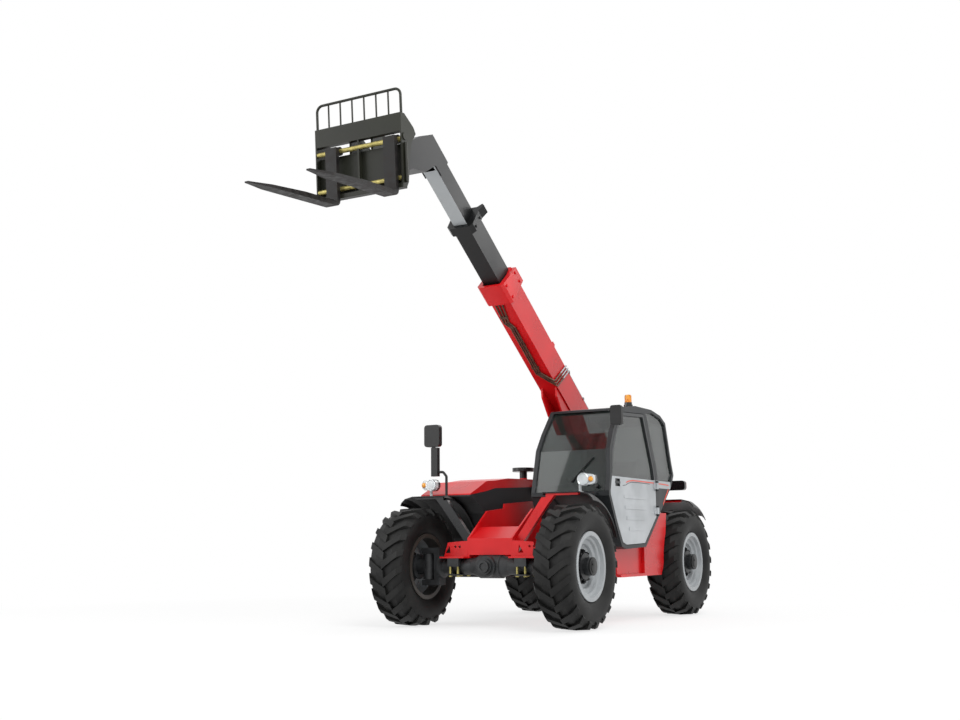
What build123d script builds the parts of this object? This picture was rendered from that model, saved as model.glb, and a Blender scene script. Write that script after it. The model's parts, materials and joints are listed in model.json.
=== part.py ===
from build123d import *
from math import cos, radians, sin, sqrt
import os

os.makedirs("parts", exist_ok=True)

# Frame while modelling: +X forward, +Y to the machine's left, +Z up, the ground at zero and
# the middle of the wheelbase at zero. The last lines move the origin to the middle of the
# whole machine's length. All lengths are in millimetres.

# Clearances: flat pieces that seat on each other, and round fits
seat_fit = 0.3
pin_fit = 0.3

# Wheels and axles
wheelbase = 2810
track = 1860
tyre_radius = 605
tyre_width = 400
carcass_radius = 577
lug_count = 21
bead_radius = 305
bead_half = 150
rim_edge_radius = 335
rim_edge_thickness = 13
rim_wall = 10
kingpin_inset = 180
kingpin_radius = 30
hub_radius = 110
spindle_radius = 50
axle_z = tyre_radius
front_x = wheelbase / 2
rear_x = -wheelbase / 2
kingpin_y = track / 2 - kingpin_inset
pad_height = 84
stud_radius = 11
stud_bottom = 500

# Chassis
frame_half = 260
frame_plate = 20
frame_bottom = 520
frame_top = 1040
nose_x = 1450
tail_x = -2150
rear_end_x = -2300
belly_bottom = 475
hitch_x = rear_end_x + 38
hitch_z = 700
hitch_bore = 16
jaw_gap = 80
jaw_plate = 20
block_bottom = hitch_z + jaw_gap / 2 + jaw_plate
block_top = 1170
belly_half = 1000
wheel_sweep = 725
fender_radius = 725
fender_thickness = 9
fender_back = 15

# Boom: pivot, rest angle, section sizes and where each section ends along the boom
boom_angle = 35.5
pivot_x = -1901
pivot_z = 1358
pivot_pin_radius = 45
outer_width = 230
outer_height = 330
outer_wall = 8
outer_tail = -160
outer_end = 3850
collar_half = 158
collar_chamfer = 28
middle_width = 190
middle_height = 262
middle_wall = 7
middle_start = 1064
middle_end = 4705
middle_collar = 100
inner_width = 154
inner_height = 206
inner_wall = 7
inner_start = 1914
inner_end = 5464
pad_length = 95
pad_fit = 0.3
pipe_radius = 9
pipe_gap = 26

# Head, tilt pin and the carriage with its forks
tilt_u = 5922
tilt_v = -654
tilt_pin_radius = 35
head_plate = 18
cover_plate = 10
fork_angle = -4
fork_back = 455
fork_thickness = 45
fork_width = 120
fork_left_y = 362
fork_right_y = -262
fork_length = 1190
fork_bottom = -433
fork_top = 100
carriage_half = 465
carriage_plate = 14
shaft_radius = 22
shaft_f = 430
upper_shaft_h = 75
lower_shaft_h = -270
crank_radius = 150
crank_angle = 55

# Lift and tilt cylinders
lift_base_x = pivot_x + 168
lift_base_z = pivot_z - 417
lift_u = 1450
lift_v = -300
lift_pin_radius = 30
lift_bore = 62
lift_rod_radius = 38
lift_eye_half = 72
ear_inner = 78
ear_outer = 100
tilt_base_u = 5444
tilt_base_v = 24
tilt_base_pin = 22
tilt_bore = 45
tilt_rod_radius = 25
tilt_eye_half = 36
barrel_wall = 9

# Cab and engine cover
cab_inner_y = 200
cab_side_y = 1080
cab_roof_y = 1000
belt_z = 1510
cab_wall = 40
glass_thickness = 6
glass_depth = 18
door_gap = 6
hinge_x = -360
hinge_y = cab_side_y + 16
hinge_heights = (1170, 1440)
hood_inner_y = 370
hood_outer_y = 980
hood_wall = 12
hood_hinge_z = 1478
hood_hinge_stations = (-800, -250)

boom_cos = cos(radians(boom_angle))
boom_sin = sin(radians(boom_angle))


def boom_point(u, v):
    """The place, seen from the side, of a point u along the boom and v above its centreline."""
    return (
        pivot_x + u * boom_cos - v * boom_sin,
        pivot_z + u * boom_sin + v * boom_cos,
    )


def side_plane(y):
    """A vertical plane along the machine, for outlines in x and z, facing right."""
    return Plane(origin=(0, y, 0), x_dir=(1, 0, 0), z_dir=(0, -1, 0))


def boom_plane(y):
    """The same plane turned with the boom, for outlines in u and v."""
    return Plane(origin=(pivot_x, y, pivot_z), x_dir=(boom_cos, 0, boom_sin), z_dir=(0, -1, 0))


def boom_section(u):
    """A plane across the boom at u, with its x to the left and its y up."""
    x, z = boom_point(u, 0)
    return Plane(origin=(x, 0, z), x_dir=(0, 1, 0), z_dir=(boom_cos, 0, boom_sin))


tilt_x, tilt_z = boom_point(tilt_u, tilt_v)


def carriage_plane(y):
    """The side plane of the carriage: its origin is the tilt pin and its x runs along the forks."""
    slope = radians(fork_angle)
    return Plane(origin=(tilt_x, y, tilt_z), x_dir=(cos(slope), 0, sin(slope)), z_dir=(0, -1, 0))


def carriage_front(f):
    """A plane across the carriage at a distance along the forks, its x to the left and its y up."""
    base = carriage_plane(0)
    return Plane(origin=base.from_local_coords((f, 0, 0)), x_dir=(0, 1, 0), z_dir=base.x_dir)


def plate(plane_at, outline, y_low, y_high, mode=Mode.ADD):
    """A flat plate of a side outline, from y_low to y_high, in the sub-part being built."""
    with BuildSketch(plane_at(y_high), mode=Mode.PRIVATE) as face:
        with BuildLine():
            Polyline(*outline, close=True)
        make_face()
    extrude(face.sketch, amount=y_high - y_low, mode=mode)


def block(plane_at, low, high, y_low, y_high, mode=Mode.ADD):
    """A square-cornered block between two corners of a side plane, from y_low to y_high."""
    outline = [low, (high[0], low[1]), high, (low[0], high[1])]
    plate(plane_at, outline, y_low, y_high, mode)


def cross_pin(plane_at, centre, radius, y_low, y_high, mode=Mode.ADD):
    """A round pin, boss or bore across the machine."""
    with BuildSketch(plane_at(y_high), mode=Mode.PRIVATE) as face:
        with Locations(centre):
            Circle(radius)
    extrude(face.sketch, amount=y_high - y_low, mode=mode)


def box_section(u_low, u_high, width, height, mode=Mode.ADD):
    """A solid box along the boom between two stations."""
    with BuildSketch(boom_section(u_low), mode=Mode.PRIVATE) as face:
        Rectangle(width, height)
    extrude(face.sketch, amount=u_high - u_low, mode=mode)


def across(outline, x_low, x_high, mode=Mode.ADD):
    """A plate of an outline in y and z, from x_low to x_high."""
    with BuildSketch(Plane.YZ.offset(x_low), mode=Mode.PRIVATE) as face:
        with BuildLine():
            Polyline(*outline, close=True)
        make_face()
    extrude(face.sketch, amount=x_high - x_low, mode=mode)


def hollow(outline, wall, y_low, y_high, shift):
    """Cuts the room inside a side outline's walls, then once more moved up or down to open it."""
    with BuildSketch(side_plane(y_high), mode=Mode.PRIVATE) as room:
        with BuildLine():
            Polyline(*outline, close=True)
        make_face()
        offset(amount=-wall, kind=Kind.INTERSECTION, mode=Mode.REPLACE)
    extrude(room.sketch, amount=y_high - y_low, mode=Mode.SUBTRACT)
    extrude(Pos(0, 0, shift) * room.sketch, amount=y_high - y_low, mode=Mode.SUBTRACT)


def tube(points, radius, bend=0):
    """A round tube along straight runs, with corners bent to a radius or left as round joints."""
    with BuildLine(mode=Mode.PRIVATE) as route:
        if bend > 0:
            FilletPolyline(*points, radius=bend)
        else:
            Polyline(*points)
    start = Plane(origin=points[0], z_dir=Vector(*points[1]) - Vector(*points[0]))
    with BuildSketch(start, mode=Mode.PRIVATE) as face:
        Circle(radius)
    sweep(face.sketch, path=route.line, transition=Transition.ROUND)


def post(f, y, h_low, h_high, radius):
    """A round post up the carriage, f along the forks and y across."""
    foot = carriage_plane(y).from_local_coords((f, h_low, 0))
    with BuildSketch(Plane(origin=foot, z_dir=carriage_plane(y).y_dir), mode=Mode.PRIVATE) as face:
        Circle(radius)
    extrude(face.sketch, amount=h_high - h_low)


# --- Wheels ------------------------------------------------------------------------------

# The tread's lugs: what one covers, seen from outside, as places along the tread and across
# it, and the outer line of the lugs, as places across the tyre and radii.
lug_outline = [(-108, -10), (-30, -10), (108, 205), (46, 205)]
lug_line = [(-12, tyre_radius), (160, 596), (200, 540), (182, 505), (-12, 540)]
with BuildPart() as lug:
    with BuildSketch(Plane(origin=(450, 0, 0), x_dir=(0, 0, 1), z_dir=(1, 0, 0))):
        with BuildLine():
            Polyline(*[(along, -outward) for along, outward in lug_outline], close=True)
        make_face()
    extrude(amount=200)
    with BuildSketch(Plane.XY, mode=Mode.PRIVATE) as band:
        with BuildLine():
            Polyline(*[(radius, outward) for outward, radius in lug_line], close=True)
        make_face()
    revolve(band.sketch, axis=Axis.Y, mode=Mode.INTERSECT)

with BuildPart() as tyre:
    shoulder_radius = 545
    shoulder_half = 178
    crown_half = 90
    bulge_radius = 450
    with BuildSketch():
        with BuildLine():
            edge = rim_edge_radius + 5
            Polyline((edge, bead_half), (bead_radius, bead_half), (bead_radius, -bead_half), (edge, -bead_half))
            ThreePointArc((edge, bead_half), (bulge_radius, tyre_width / 2), (shoulder_radius, shoulder_half))
            ThreePointArc((edge, -bead_half), (bulge_radius, -tyre_width / 2), (shoulder_radius, -shoulder_half))
            Polyline((shoulder_radius, shoulder_half), (carcass_radius, crown_half), (carcass_radius, -crown_half),
                     (shoulder_radius, -shoulder_half))
        make_face()
    revolve(axis=Axis.Y)
    lug_pitch = 360 / lug_count
    add([Rot(0, lug_pitch * number, 0) * lug.part for number in range(lug_count)])
    other = lug.part.mirror(Plane.XZ)
    add([Rot(0, lug_pitch * (number + 0.5), 0) * other for number in range(lug_count)])

with BuildPart() as rim:
    barrel_out = bead_radius - pin_fit
    barrel_in = barrel_out - rim_wall
    edge_in = bead_half + 1
    edge_out = edge_in + rim_edge_thickness
    with BuildSketch():
        with BuildLine():
            Polyline(
                (0, 175), (75, 175), (88, 162), (88, 112), (128, 104), (128, 66),
                (205, 62), (215, 90), (255, 96), (262, 120), (barrel_in - 8, 128), (barrel_in, edge_out),
                (rim_edge_radius, edge_out), (rim_edge_radius, edge_in), (barrel_out, edge_in),
                (barrel_out, -edge_in), (rim_edge_radius, -edge_in), (rim_edge_radius, -edge_out),
                (barrel_in, -edge_out), (barrel_in, 112), (274, 106), (267, 82), (227, 76), (217, 48),
                (hub_radius, 46), (hub_radius, -40), (spindle_radius + pin_fit, -40),
                (spindle_radius + pin_fit, -10), (0, -10),
                close=True,
            )
        make_face()
    revolve(axis=Axis.Y)

# Modelled for the left side with its origin at the wheel's centre: the kingpin and its housing,
# then the flange, the neck and the spindle as radii and places from the wheel's middle.
with BuildPart() as knuckle:
    with Locations((0, -kingpin_inset, 0)):
        Cylinder(kingpin_radius, 2 * 178)
        Cylinder(62, 2 * 130)
    for radius, y_low, y_high in ((128, -70, -45), (80, -kingpin_inset, -45), (spindle_radius, -75, -15)):
        cross_pin(side_plane, (0, 0), radius, y_low, y_high)

# One row for each wheel: its name, how far along the machine it stands, and its side.
corners = [
    ("front_left", front_x, 1),
    ("front_right", front_x, -1),
    ("rear_left", rear_x, 1),
    ("rear_right", rear_x, -1),
]
nodes = {}
for corner, corner_x, side in corners:
    place = Pos(corner_x, side * track / 2, axle_z)
    for kind, shape in (("tyre", tyre.part), ("rim", rim.part), ("knuckle", knuckle.part)):
        handed = shape if side > 0 else shape.mirror(Plane.XZ)
        nodes[f"{kind}_{corner}"] = place * handed


# --- Axles -------------------------------------------------------------------------------

pad_z = axle_z + pad_height
pad_y = 385
pad_half = 65


def axle(axle_x, nose_side):
    """A drive axle: centre housing, arms, yokes round the kingpins, mounting pads and their studs."""
    yoke_low, yoke_high = 135, 190
    # The housing's outline from the middle outwards, as places across and radii
    half_line = [(125, 118), (135, 104), (215, 84), (545, 75), (565, 118), (590, 118)]
    with BuildPart() as beam:
        with BuildSketch(Plane.XY.offset(axle_z)):
            with BuildLine():
                right = [(axle_x + radius, -y) for y, radius in reversed(half_line)]
                left = [(axle_x + radius, y) for y, radius in half_line]
                Polyline((axle_x, -590), *right, *left, (axle_x, 590), close=True)
            make_face()
        revolve(axis=Axis((axle_x, 0, axle_z), (0, 1, 0)))
        # The pinion's nose: a round neck and its flange ring
        for radius, reach in ((104, 140), (78, 165), (58, 192)):
            with BuildSketch(Plane.YZ.offset(axle_x)):
                with Locations((0, axle_z)):
                    Circle(radius)
            extrude(amount=nose_side * reach)
        with BuildSketch(Plane.YZ.offset(axle_x + nose_side * 180)):
            with Locations((0, axle_z)):
                Circle(40)
        extrude(amount=nose_side * 20, mode=Mode.SUBTRACT)
        for side in (1, -1):
            outline = [
                (side * 588, axle_z - yoke_high), (side * 800, axle_z - yoke_high),
                (side * 800, axle_z - yoke_low), (side * 655, axle_z - yoke_low),
                (side * 655, axle_z + yoke_low), (side * 800, axle_z + yoke_low),
                (side * 800, axle_z + yoke_high), (side * 588, axle_z + yoke_high),
            ]
            across(outline, axle_x - 60, axle_x + 60)
            with Locations((axle_x, side * pad_y, axle_z + (pad_height - seat_fit) / 2)):
                Box(260, 2 * pad_half, pad_height - seat_fit)
            # Clamping studs hang from the pad and hold a plate under the arm
            with Locations((axle_x, side * pad_y, stud_bottom + 22)):
                Box(250, 2 * pad_half, 12)
            stud_height = axle_z + 20 - stud_bottom
            for stud_x in (-105, 105):
                for stud_y in (-45, 45):
                    with Locations((axle_x + stud_x, side * pad_y + stud_y, stud_bottom + stud_height / 2)):
                        Cylinder(stud_radius, stud_height)
            with Locations((axle_x, side * kingpin_y, axle_z)):
                Cylinder(kingpin_radius + pin_fit, 2 * yoke_high + 10, mode=Mode.SUBTRACT)
    return beam.part


nodes["front_axle"] = axle(front_x, 1)
nodes["rear_axle"] = axle(rear_x, -1)

# --- Chassis frame -----------------------------------------------------------------------

nose_z = 720
nose_top_z = 885
front_rise = front_x - 230
floor_front = front_x - 420
floor_rear = rear_x + 320
with BuildPart() as chassis_frame:
    # Both side plates share their underside and their rear tower, and rise differently in front
    underside = [(tail_x, 700), (rear_x - 190, pad_z), (rear_x + 190, pad_z), (floor_rear, frame_bottom),
                 (floor_front, frame_bottom), (front_rise, pad_z), (nose_x, pad_z), (nose_x, nose_z),
                 (nose_x + 5, nose_top_z)]
    tower = [(pivot_x + 551, frame_top + 20), (pivot_x + 261, pivot_z + 75), (pivot_x + 121, pivot_z + 155),
             (pivot_x - 89, pivot_z + 155), (pivot_x - 169, pivot_z + 35), (tail_x, 1150)]
    left_top = [(1000, 1185), (872, 1185), (777, frame_top - 10)]
    right_top = [(1066, 1170), (700, 1204), (687, 1254), (40, 1300), (-900, 1290)]
    for top, low, high in ((left_top, frame_half - frame_plate, frame_half),
                           (right_top, -frame_half, frame_plate - frame_half)):
        plate(side_plane, underside + top + tower, low, high)
    # The folded front plate, the floor and the rear plate between them
    inner = frame_half - frame_plate + 1
    plate(side_plane, [(nose_x, nose_z), (nose_x + 5, nose_top_z), (1190, 1003), (1184, 988),
                       (nose_x - 12, nose_top_z - 10), (nose_x - 16, nose_z)], -inner, inner)
    block(side_plane, (floor_rear, frame_bottom), (floor_front, frame_bottom + 15), -inner, inner)
    block(side_plane, (tail_x, 700), (tail_x + 15, 1150), -inner, inner)
    cross_pin(side_plane, (pivot_x, pivot_z), pivot_pin_radius, -frame_half - 25, frame_half + 25)
    cross_pin(side_plane, (lift_base_x, lift_base_z), lift_pin_radius, -frame_half - 15, frame_half + 15)
    # Brackets that carry the axles: a base flange and an end plate with bolt and lightening holes
    end_plate = 16
    flange_top = pad_z + 15
    for bracket_x, end in ((front_x, 1), (rear_x, -1)):
        end_x = bracket_x + end * 40 - end_plate / 2
        for side, hole_y, bolt_y in ((1, 320, 450), (-1, 462, 354)):
            y0, y1 = sorted((side * (frame_half - 2), side * 540))
            block(side_plane, (bracket_x - 135, pad_z), (bracket_x + 135, flange_top), y0, y1)
            outline = [(side * (frame_half - 2), flange_top - 1), (side * 540, flange_top - 1),
                       (side * 492, flange_top + 142), (side * 310, flange_top + 156),
                       (side * (frame_half - 2), flange_top + 156)]
            across(outline, end_x, end_x + end_plate)
            hole = [(side * hole_y, flange_top + 36), (side * (hole_y + 62), flange_top + 36),
                    (side * (hole_y + 12), flange_top + 118)]
            across(hole, end_x, end_x + end_plate, mode=Mode.SUBTRACT)
            with BuildSketch(Plane.YZ.offset(end_x)):
                with Locations((side * bolt_y, flange_top + 100), (side * (bolt_y + 50), flange_top + 100)):
                    Circle(14)
            extrude(amount=end_plate, mode=Mode.SUBTRACT)
    # Arms that carry the fenders
    arm_low_x, arm_high_x = -85, -35
    arm_reach = arm_low_x + fender_back
    arm_top = axle_z + sqrt((fender_radius - fender_thickness) ** 2 - arm_reach**2) - seat_fit
    for arm_x in (front_x, rear_x):
        for side in (1, -1):
            across([(side * 258, 740), (side * 258, 880), (side * 550, arm_top - 35), (side * 595, arm_top - 35),
                    (side * 595, arm_top), (side * 950, arm_top), (side * 950, arm_top - 20),
                    (side * 690, arm_top - 20), (side * 620, arm_top - 100)],
                   arm_x + arm_low_x, arm_x + arm_high_x)
nodes["chassis_frame"] = chassis_frame.part

# --- Fenders -----------------------------------------------------------------------------

# The fender's section from its inner side to its rolled outer edge, as places across the
# machine and radii about the axle.
fender_line = [(562, 702), (574, fender_radius), (968, fender_radius), (1062, 702), (1106, 664), (1122, 632)]


def fender_pair(axle_x, sweep_angle):
    """Two mudguards that wrap their wheels from just behind the top down the rear side."""
    with BuildPart() as pair:
        for side in (1, -1):
            start = Plane(origin=(axle_x - fender_back, 0, axle_z), x_dir=(0, 1, 0), z_dir=(1, 0, 0))
            with BuildSketch(start):
                with BuildLine():
                    outer = Polyline(*[(side * y, radius) for y, radius in fender_line])
                    under = Side.RIGHT if side > 0 else Side.LEFT
                    offset(outer, amount=fender_thickness, side=under, closed=True)
                make_face()
            revolve(axis=Axis((axle_x - fender_back, 0, axle_z), (0, -1, 0)), revolution_arc=sweep_angle)
    return pair.part


def on_fender(axle_x, x, y):
    """A plane that touches a fender's top over the place x and y."""
    lean = (x - axle_x + 15) / fender_radius
    rise = sqrt(1 - lean**2)
    reach = fender_radius + seat_fit
    return Plane(origin=(axle_x - fender_back + reach * lean, y, axle_z + reach * rise), x_dir=(rise, 0, -lean),
                 z_dir=(lean, 0, rise))


nodes["fenders_front"] = fender_pair(front_x, 66)
nodes["fenders_rear"] = fender_pair(rear_x, 40)

# --- Cab ---------------------------------------------------------------------------------

cab_outline = [
    (506, 764), (617, 787), (766, 1026), (912, 1300), (915, 1353), (795, 1790), (663, 1972), (419, 2240),
    (-30, 2300), (-500, 2300), (-758, 2255), (-890, 2180), (-911, 1733), (-931, 1586), (-816, 1446),
    (-407, 1099), (-22, 783),
]
door_rear = hinge_x + door_gap
door_outline = [
    (500, 802), (590, 830), (733, 1050), (872, 1312), (874, 1350), (756, 1772), (628, 1948), (400, 2200),
    (-252, 2232), (door_rear, 1640), (door_rear, 1105), (0, 818),
]
door_window = [
    (832, 1500), (716, 1756), (598, 1922), (382, 2160), (-212, 2190), (door_rear + 40, 1640),
    (door_rear + 40, 1500),
]
quarter_window = [
    (-424, 1500), (-424, 1640), (-322, 2242), (-500, 2262), (-742, 2218), (-852, 2152), (-872, 1740),
    (-890, 1600), (-806, 1500),
]
right_window = [
    (868, 1360), (756, 1772), (628, 1948), (400, 2200), (-500, 2262), (-742, 2218), (-852, 2152),
    (-872, 1740), (-890, 1600), (-790, 1480), (-600, 1360),
]
front_window = [(245, 1345), (1035, 1345), (1035, 1520), (955, 2215), (245, 2215)]
rear_window = [(260, 1600), (1000, 1600), (950, 2150), (260, 2150)]


def cab_body(inset):
    """The cab's outer form, drawn in by an inset on every side."""
    lean_y = cab_side_y - inset
    roof_y = cab_roof_y - inset
    with BuildPart() as body:
        with BuildSketch(side_plane(lean_y)):
            with BuildLine():
                Polyline(*cab_outline, close=True)
            make_face()
            if inset != 0:
                offset(amount=-inset, kind=Kind.INTERSECTION, mode=Mode.REPLACE)
        extrude(amount=lean_y - cab_inner_y - inset)
        # The side leans in above the belt, and a notch clears the chassis plate
        notch_y = frame_half + 4 + inset
        notch_z = frame_top + 25 + inset
        across([(cab_inner_y - 5, 700), (notch_y, 700), (notch_y, notch_z), (cab_inner_y - 5, notch_z)],
               -1200, 1200, mode=Mode.SUBTRACT)
        lean = [(lean_y, belt_z), (lean_y + 300, belt_z), (lean_y + 300, 2400), (roof_y - 15, 2400)]
        across(lean, -1200, 1200, mode=Mode.SUBTRACT)
    return body.part


def window_blocks(fit):
    """Blocks that cut the cab's windows, drawn in by a fit for the panes."""
    # Each opening: its plane, its outline and how far it cuts
    openings = (
        (Plane.YZ.offset(300), front_window, 700),
        (Plane.YZ.offset(-600), rear_window, -400),
        (side_plane(cab_inner_y + 200), right_window, 400),
        (side_plane(cab_side_y + 10), quarter_window, 300),
    )
    with BuildPart() as blocks:
        for plane, outline, depth in openings:
            with BuildSketch(plane):
                with BuildLine():
                    Polyline(*outline, close=True)
                make_face()
                if fit > 0:
                    offset(amount=-fit, kind=Kind.INTERSECTION, mode=Mode.REPLACE)
            extrude(amount=depth)
    return blocks.part


def side_block(outline, inset):
    """A block through the cab's left side, drawn in by an inset."""
    with BuildPart() as block_part:
        with BuildSketch(side_plane(cab_side_y + 10)):
            with BuildLine():
                Polyline(*outline, close=True)
            make_face()
            offset(amount=-inset, kind=Kind.INTERSECTION, mode=Mode.REPLACE)
        extrude(amount=250)
    return block_part.part


cab_middle = (cab_inner_y + cab_side_y) / 2
cab_outer = cab_body(0)
cab_inner = cab_body(cab_wall)
glass_outer = cab_body(glass_depth)
glass_inner = cab_body(glass_depth + glass_thickness)
cab_clear = cab_body(-seat_fit)
cab_room = cab_body(cab_wall + seat_fit)

with BuildPart() as cab_shell:
    add(cab_outer)
    add(cab_inner, mode=Mode.SUBTRACT)
    plate(side_plane, door_outline, cab_middle, cab_side_y + 10, mode=Mode.SUBTRACT)
    add(window_blocks(0), mode=Mode.SUBTRACT)
    # Ledge under the windscreen
    ledge = [(905, 1296), (948, 1306), (950, 1322), (912, 1338)]
    plate(side_plane, ledge, cab_inner_y + 20, cab_side_y - 130)
    # Hinge lugs and pins of the door
    for hinge_z in hinge_heights:
        with Locations((hinge_x, hinge_y, hinge_z)):
            Cylinder(8, 110)
        for lug_z in (hinge_z - 45, hinge_z + 45):
            with Locations((hinge_x, hinge_y, lug_z)):
                Cylinder(15, 20)
            with Locations((hinge_x - 27, cab_side_y + 4, lug_z)):
                Box(54, 10, 20)
nodes["cab_shell"] = cab_shell.part

with BuildPart() as cab_glass:
    add(glass_outer)
    add(glass_inner, mode=Mode.SUBTRACT)
    add(window_blocks(seat_fit), mode=Mode.INTERSECT)
nodes["cab_glass"] = cab_glass.part

with BuildPart() as cab_door:
    add(cab_outer)
    add(cab_inner, mode=Mode.SUBTRACT)
    add(side_block(door_outline, door_gap), mode=Mode.INTERSECT)
    plate(side_plane, door_window, cab_middle, cab_side_y + 10, mode=Mode.SUBTRACT)
    knuckle_height = 70 - 2 * seat_fit
    for hinge_z in hinge_heights:
        with Locations((hinge_x, hinge_y, hinge_z)):
            Cylinder(15, knuckle_height)
        with Locations((hinge_x + 35, cab_side_y + 5.3, hinge_z)):
            Box(70, 10, knuckle_height)
        with Locations((hinge_x + 45, cab_side_y + 2, hinge_z)):
            Box(50, 12, knuckle_height)
        with Locations((hinge_x, hinge_y, hinge_z)):
            Cylinder(8 + pin_fit, 80, mode=Mode.SUBTRACT)
    # Pressed ribs across the door's lower panel: half-length and height of each
    for half_length, rib_z in ((300, 1300), (280, 1190), (240, 1080), (180, 970)):
        with Locations((240, cab_side_y, rib_z)):
            Box(2 * half_length, 12, 34)
    handle_x, handle_z = 690, 1440
    with Locations((handle_x, cab_side_y, handle_z)):
        Box(110, 30, 78, mode=Mode.SUBTRACT)
        Box(112, 12, 22)
nodes["cab_door"] = cab_door.part

with BuildPart() as door_glass:
    add(glass_outer)
    add(glass_inner, mode=Mode.SUBTRACT)
    add(side_block(door_window, seat_fit), mode=Mode.INTERSECT)
nodes["door_glass"] = door_glass.part

with BuildPart() as seat:
    plate(side_plane, [(-330, 1040), (60, 760), (40, 1130), (-330, 1130)], cab_middle - 160, cab_middle + 160)
    plate(side_plane, [(-350, 1125), (100, 1140), (112, 1190), (90, 1240), (-350, 1225)],
          cab_middle - 240, cab_middle + 240)
    plate(side_plane, [(-390, 1160), (-280, 1160), (-400, 1750), (-420, 1770), (-470, 1770), (-490, 1740)],
          cab_middle - 230, cab_middle + 230)
    add(cab_room, mode=Mode.INTERSECT)
nodes["seat"] = seat.part

column_top = Plane(origin=(520, cab_middle, 1300), z_dir=(-0.45, 0, 1))
with BuildPart() as steering_column:
    plate(side_plane, [(380, 780), (460, 780), (640, 1180), (660, 1310), (500, 1330)],
          cab_middle - 190, cab_middle + 190)
    with BuildSketch(column_top):
        Circle(25)
    extrude(amount=150)
    with BuildSketch(column_top.offset(145)):
        Circle(180)
        Circle(150, mode=Mode.SUBTRACT)
        Rectangle(320, 30)
    extrude(amount=25)
    add(cab_room, mode=Mode.INTERSECT)
nodes["steering_column"] = steering_column.part

# --- Belly tank and rear counterweight ---------------------------------------------------

recess_end = -165
with BuildPart() as belly_tank:
    left_outline = [(480, belly_bottom), (-650, belly_bottom), (-766, 659), (-844, 1155), (-300, 1155),
                    (480, 800), (560, 740)]
    plate(side_plane, left_outline, frame_half + seat_fit, belly_half)
    add(cab_clear, mode=Mode.SUBTRACT)
    # Room for the rear wheel as it steers
    with Locations((rear_x, kingpin_y, axle_z)):
        Sphere(wheel_sweep, mode=Mode.SUBTRACT)
    # Recessed side panel behind the front wheel, over its step
    block(side_plane, (recess_end, belly_bottom + 28), (600, 810), belly_half - 36, belly_half + 1,
          mode=Mode.SUBTRACT)
nodes["belly_tank"] = belly_tank.part

with BuildPart() as counterweight:
    across([(-500, block_bottom), (500, block_bottom), (500, 1090), (440, block_top), (-440, block_top),
            (-500, 1090)], -2260, tail_x - seat_fit)
    # Tow hitch: two jaws with the pin's bore, and a slot above where the pin drops in
    for jaw_z in (hitch_z - jaw_gap / 2 - jaw_plate / 2, hitch_z + jaw_gap / 2 + jaw_plate / 2):
        with Locations((rear_end_x + 60, 0, jaw_z)):
            Box(120, 120, jaw_plate)
    with Locations((rear_end_x + 110, 0, hitch_z + 12)):
        Box(30, 120, 140)
    with Locations((hitch_x, 0, (block_bottom + block_top) / 2)):
        Box(74, 110, block_top - block_bottom, mode=Mode.SUBTRACT)
    with Locations((hitch_x, 0, hitch_z)):
        Cylinder(hitch_bore, jaw_gap + 2 * jaw_plate, mode=Mode.SUBTRACT)
nodes["counterweight"] = counterweight.part

# --- Engine side -------------------------------------------------------------------------

# The seam between bay and lid, from the rear to the front
seam = [(-950, 1440), (-194, 1470), (670, 1427), (828, 1394), (1200, 1340)]
low_outline = [(620, belly_bottom), (-620, belly_bottom), (-650, 700), (-690, 850), (-750, 980), (750, 980),
               (690, 850)]
bay_outline = low_outline[:5] + [(-950, 1200)] + seam + [(1200, 1325), (1028, 1248), (888, 1150), (750, 980),
                                                      (690, 850)]
bay_y0, bay_y1 = -hood_outer_y, -hood_inner_y
with BuildPart() as engine_bay:
    plate(side_plane, bay_outline, bay_y0, bay_y1)
    plate(side_plane, low_outline, bay_y1 - 1, -frame_half - seat_fit)
    hollow(bay_outline, hood_wall, bay_y0 + hood_wall, bay_y1 - hood_wall, 2 * hood_wall)
    with BuildSketch(side_plane(-frame_half)):
        with BuildLine():
            Polyline(*low_outline, close=True)
        make_face()
        offset(amount=-hood_wall, kind=Kind.INTERSECTION, mode=Mode.REPLACE)
    extrude(amount=hood_inner_y - frame_half + 2 * hood_wall, mode=Mode.SUBTRACT)
    # Hinge pins of the lid, each in two lugs on the bay's inner side
    for station in hood_hinge_stations:
        for lug_x in (station - 45, station + 45):
            block(side_plane, (lug_x - 10, 1400), (lug_x + 10, 1435), bay_y1 - 1, bay_y1 + 32)
            block(side_plane, (lug_x - 10, 1400), (lug_x + 10, hood_hinge_z), bay_y1 + 4, bay_y1 + 32)
            with Locations(Location((lug_x, bay_y1 + 18, hood_hinge_z), (0, 90, 0))):
                Cylinder(14, 20)
        with Locations(Location((station, bay_y1 + 18, hood_hinge_z), (0, 90, 0))):
            Cylinder(7, 110)
nodes["engine_bay"] = engine_bay.part

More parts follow.
